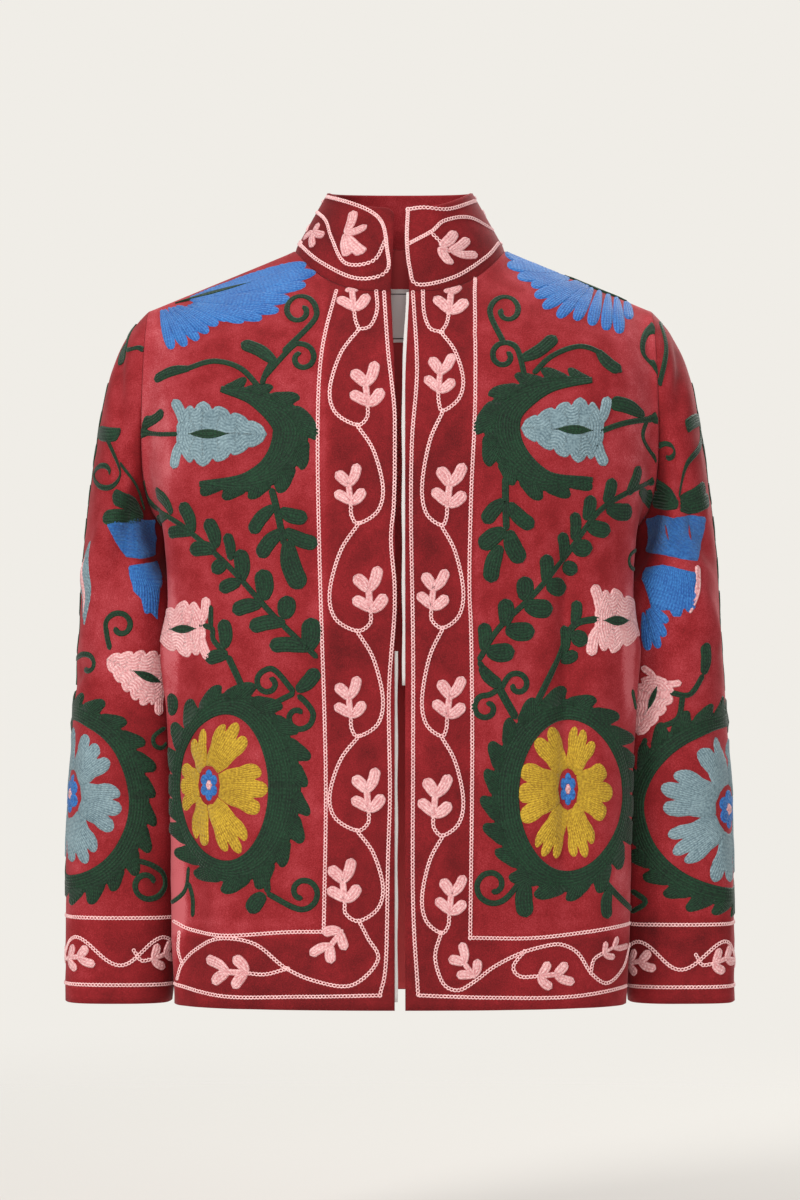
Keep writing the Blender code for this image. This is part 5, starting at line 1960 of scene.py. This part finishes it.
def add_stage():
    """Pale floor, soft studio light and the camera."""
    span = 1.056  # height of the picture at the front of the jacket
    away, middle, rise = 6.0, -0.3106, math.radians(1.0)
    camera = bpy.data.objects.new("camera", bpy.data.cameras.new("camera"))
    camera.data.sensor_width = 36.0
    camera.data.lens = 36.0 * away / span
    camera.location = (0.0, -0.10 - away * math.cos(rise), middle + away * math.sin(rise))
    aim = Vector((0.0, -0.10, middle)) - camera.location
    camera.rotation_euler = aim.to_track_quat("-Z", "Y").to_euler()
    bpy.context.scene.collection.objects.link(camera)
    bpy.context.scene.camera = camera

    floor_finish = Finish("pale floor")
    place = floor_finish.node("ShaderNodeTexCoord", {}, {}, "Object")
    reach = floor_finish.node("ShaderNodeVectorMath", {"operation": "LENGTH"}, {0: place}, "Value")
    fade = floor_finish.node(
        "ShaderNodeMapRange",
        {"interpolation_type": "SMOOTHSTEP"},
        {"Value": reach, "From Min": 0.5, "From Max": 2.6},
    )
    clear = floor_finish.node("ShaderNodeBsdfTransparent", {}, {})
    floor_finish.set(Base_Color=(0.62, 0.605, 0.58), Roughness=0.9, Specular_IOR_Level=0.1)
    solid = Wire(floor_finish, floor_finish.shader.outputs[0])
    mixed = floor_finish.node("ShaderNodeMixShader", {}, {0: fade, 1: solid, 2: clear})
    floor_finish.feed(floor_finish.tree.nodes["Material Output"].inputs["Surface"], mixed)
    ring = [(2.8 * math.cos(a), 2.8 * math.sin(a), 0.0) for a in np.linspace(0, 2 * math.pi, 97)[:-1]]
    mesh = bpy.data.meshes.new("floor")
    mesh.from_pydata(ring, [], [tuple(range(len(ring)))])
    mesh.materials.append(floor_finish.material)
    floor = bpy.data.objects.new("floor", mesh)
    floor.location = (0.0, 0.0, -0.90)
    bpy.context.scene.collection.objects.link(floor)

    world = bpy.data.worlds.new("studio")
    bpy.context.scene.world = world
    world.use_nodes = True
    backdrop = world.node_tree.nodes["Background"]
    backdrop.inputs["Color"].default_value = (0.871, 0.847, 0.799, 1.0)
    soft = world.node_tree.nodes.new("ShaderNodeBackground")
    soft.inputs["Color"].default_value = (1.0, 0.985, 0.965, 1.0)
    soft.inputs["Strength"].default_value = 0.36
    seen = world.node_tree.nodes.new("ShaderNodeLightPath")
    mixed = world.node_tree.nodes.new("ShaderNodeMixShader")
    world.node_tree.links.new(seen.outputs["Is Camera Ray"], mixed.inputs[0])
    world.node_tree.links.new(soft.outputs[0], mixed.inputs[1])
    world.node_tree.links.new(backdrop.outputs[0], mixed.inputs[2])
    world.node_tree.links.new(mixed.outputs[0], world.node_tree.nodes["World Output"].inputs[0])
    lights = (  # name, place, size, power
        ("key", (-2.3, -2.9, 1.7), 1.4, 118.0),
        ("front", (0.0, -5.4, 0.1), 0.6, 72.0),
        ("fill", (2.6, -2.6, 0.3), 2.2, 26.0),
        ("top", (0.2, 0.8, 2.6), 1.8, 52.0),
        ("rear", (1.6, 3.0, 1.4), 2.0, 80.0),
    )
    for name, spot, size, power in lights:
        lamp = bpy.data.lights.new(name, "AREA")
        lamp.shape, lamp.size, lamp.energy = "DISK", size, power
        lamp.color = (1.0, 0.985, 0.96)
        thing = bpy.data.objects.new(name, lamp)
        thing.location = spot
        thing.rotation_euler = (Vector((0.0, 0.0, -0.3)) - thing.location).to_track_quat("-Z", "Y").to_euler()
        bpy.context.scene.collection.objects.link(thing)


def make_charts(cuts):
    """A chart of each piece of cloth."""
    charts = {}
    for name in ("left_front", "right_front"):
        cut = cuts[name]
        charts[name] = Chart(cut, [(cut.numbers[0], body_spread(cut.grids[0]))], -1.0)
    back = cuts["back"]
    halves = [(numbers, body_spread(grid)) for numbers, grid in zip(back.numbers, back.grids)]
    charts["back"] = Chart(back, halves, 1.0)
    collar = cuts["collar"]
    flat = collar_spread(collar.grids[0])
    charts["collar"] = Chart(collar, [(collar.numbers[0], flat)], -1.0, CHART_MIDDLE)
    for name, fold_at in (("left_sleeve", LEFT_SLEEVE_FOLD), ("right_sleeve", RIGHT_SLEEVE_FOLD)):
        cut = cuts[name]
        order, flat = sleeve_spread(cut.grids[0])
        charts[name] = Chart(cut, [(cut.numbers[0][:, order], flat)], -1.0, fold_at)
    return charts


# Zones where the velvet is painted lighter and darker: painted sheen where the fronts and sleeves turn away,
# painted shade on the sleeves' inner sides by the body, and some patches of nap that lies the other way.
# Piece, middle and half sizes on the chart, and how much lighter it is painted there
NAP_AND_PAINTED_LIGHT_ZONES = (
    ("right_front", 170, 650, 9, 75, 0.26),
    ("right_front", 172, 880, 15, 95, 0.34),
    ("right_front", 160, 470, 12, 80, 0.12),
    ("right_front", 235, 925, 60, 10, 0.10),
    ("right_front", 300, 560, 18, 60, -0.10),
    ("left_front", 629, 650, 7, 70, 0.26),
    ("left_front", 622, 905, 14, 50, 0.16),
    ("left_front", 500, 600, 26, 60, -0.08),
    ("left_front", 640, 400, 14, 50, 0.08),
    ("right_sleeve", 152, 500, 22, 110, -0.24),
    ("right_sleeve", 95, 650, 26, 40, 0.08),
    ("right_sleeve", 154, 900, 14, 60, -0.12),
    ("left_sleeve", 652, 500, 20, 110, -0.22),
    ("left_sleeve", 690, 680, 22, 40, 0.06),
    ("left_sleeve", 650, 930, 12, 60, -0.10),
)


def nap_and_painted_light_of(cut, stitched):
    """How light the velvet is painted: darker in the border bands and on the collar, lighter beside
    stitching, painted sheen where the sides round away from the front, and the painted sheen and shade of the
    zones.
    """
    x, z = np.abs(cut.points[:, 0]), cut.points[:, 2]
    nap = np.full(len(cut.points), 0.56)
    if cut.name in ("left_front", "right_front"):
        band = np.clip((BAND_EDGE - x) / 0.006, 0.0, 1.0)
        nap -= 0.20 * np.maximum(band, np.clip((HEM_BAND - z) / 0.006, 0.0, 1.0))
        # painted sheen: lighter towards the side seam, where the front rounds away
        nap += 0.16 * np.clip((x - 0.182) / 0.022, 0.0, 1.0)
    elif cut.name == "back":
        nap -= 0.20 * np.clip((HEM_BAND - z) / 0.006, 0.0, 1.0)
        # painted sheen: lighter towards the side seams, where the back rounds away
        nap += 0.12 * np.clip((x - 0.182) / 0.022, 0.0, 1.0)
    elif cut.name == "collar":
        nap -= 0.26
    else:
        nap -= 0.18 * np.clip((CUFF_BAND - z) / 0.006, 0.0, 1.0)
        # painted sheen: lighter on the sleeve's outer side, where it rounds away
        nap += 0.14 * np.clip((x - 0.270) / 0.025, 0.0, 1.0)
    # painted sheen and painted shade of the zones, and nap patches
    for zone, x, y, half_x, half_y, more in NAP_AND_PAINTED_LIGHT_ZONES:
        if zone == cut.name:
            away = (cut.points[:, 0] / SQUARE_SIZE + CHART_MIDDLE - x) / half_x
            away = np.hypot(away, (CHART_SHOULDER - cut.points[:, 2] / SQUARE_SIZE - y) / half_y)
            away = np.where(cut.normals[:, 1] < 0.25, away, 9.0)
            nap += more * np.clip((1.12 - away) / 0.4, 0.0, 1.0)
    tree = kdtree.KDTree(len(stitched))
    for i, place in enumerate(stitched.tolist()):
        tree.insert(place, i)
    tree.balance()
    gaps = np.array([tree.find(place)[2] for place in cut.points.tolist()])
    nap += 0.07 * np.exp(-(((gaps - 0.005) / 0.004) ** 2))
    return nap


def label_finish():
    """Pale woven label, bare but for a thin woven line near its top and bottom."""
    finish = Finish("pale label")
    place = finish.place()
    height = finish.node("ShaderNodeSeparateXYZ", {}, {"Vector": place}, "Z")
    weave = finish.cloud(place, 2200.0, 1.0)
    top, low = (height.near(line, LABEL_LINE_HALF) for line in LABEL_LINES)
    plain = finish.blend(weave, (0.80, 0.785, 0.77), (0.95, 0.94, 0.93))
    finish.set(
        Base_Color=finish.blend(top + low, plain, (0.045, 0.040, 0.042)),
        Roughness=0.55,
        Normal=finish.bump(weave, 0.3, 0.0003),
    )
    return finish.material


def tape_finish():
    """Pale cotton tape."""
    finish = Finish("pale tape")
    weave = finish.cloud(finish.place(), 1800.0, 1.0)
    finish.set(
        Base_Color=finish.blend(weave, (0.50, 0.47, 0.46), (0.78, 0.75, 0.73)),
        Roughness=0.7,
        Normal=finish.bump(weave, 0.3, 0.0003),
    )
    return finish.material


def strip_walls(front, rear):
    """Closed wall between two grids of points of the same size."""
    rows, columns = front.shape[:2]
    index = np.arange(rows * columns).reshape(rows, columns)
    faces = grid_cells(index).tolist()
    count = rows * columns
    known = {(f[i], f[(i + 1) % 4]) for f in faces for i in range(4)}
    rims = [(v, u, count + u, count + v) for u, v in sorted(known) if (v, u) not in known]
    faces += [tuple(count + i for i in face[::-1]) for face in faces]
    return np.vstack([front.reshape(-1, 3), rear.reshape(-1, 3)]), faces + rims


def neck_label(back):
    """The bare label, curved to the inner face of the back."""
    inner = back.points - CLOTH * back.normals
    tree = BVHTree.FromPolygons(inner.tolist(), back.quads.tolist())
    rows = []
    for z in np.linspace(LABEL_TOP, LABEL_TOP - LABEL_LENGTH, LABEL_POINTS):
        row = []
        for x in np.linspace(-LABEL_WIDTH / 2, LABEL_WIDTH / 2, LABEL_POINTS):
            hit = tree.ray_cast(Vector((x, 0.0, z)), Vector((0.0, 1.0, 0.0)))[0]
            puff = LABEL_PUFF * math.sin(math.pi * (LABEL_TOP - z) / LABEL_LENGTH)
            row.append((x, hit.y - LABEL_CLEARANCE - puff, z))
        rows.append(row)
    rear = np.array(rows)
    front = rear - np.array([0.0, LABEL_THICK, 0.0])
    points, faces = strip_walls(rear, front)
    thing = add_mesh("neck_label_cloth", points, faces, [label_finish()])
    thing.data.set_sharp_from_angle(angle=math.radians(40))
    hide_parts("neck_label")


def edge_tape(cut, top, low, material):
    """A pale tape behind a front edge, which shows as a thin line in the gap."""
    edge = cut.points[cut.numbers[0][:, 0]]
    normals = cut.normals[cut.numbers[0][:, 0]]
    keep = (edge[:, 2] <= top) & (edge[:, 2] >= low)
    edge, normals = edge[keep] - (CLOTH + TAPE_CLEARANCE) * normals[keep], normals[keep]
    side = np.sign(edge[:, 0])
    across = np.array(TAPE_ACROSS)
    sway = TAPE_SWAY * np.sin(edge[:, 2] * 90.0)
    front = np.repeat(edge[:, None], len(across), axis=1)
    front[..., 0] += side[:, None] * (across[None] + sway[:, None])
    rear = front + np.array([0.0, TAPE_THICK, 0.0])
    points, faces = strip_walls(front, rear)
    if side[0] < 0:
        faces = [tuple(face[::-1]) for face in faces]
    return add_mesh(cut.name + "_tape", points, faces, [material])


def main():
    view = bpy.context.scene.view_settings
    view.view_transform, view.look = "Standard", "None"
    cuts = jacket_cuts()
    charts = make_charts(cuts)
    threads = {name: thread_finish(name, *colours) for name, colours in THREAD_COLOURS_SHADED_AND_LIT.items()}
    materials = [velvet_finish(), lining_finish()]
    tape = tape_finish()
    for name, work_on in EMBROIDERY.items():
        cut = cuts[name]
        work = Stitching(charts[name], threads)
        work_on(work)
        on_cloth = [work.finish(name + "_embroidery")]
        if name in TAPES:
            on_cloth.append(edge_tape(cut, *TAPES[name], tape))
        finishes = materials[:1] * 2 if name == "collar" else materials  # the collar is velvet on both sides
        cloth = sew(cut, finishes, nap_and_painted_light_of(cut, work.places))
    neck_label(cuts["back"])
    add_stage()

main()
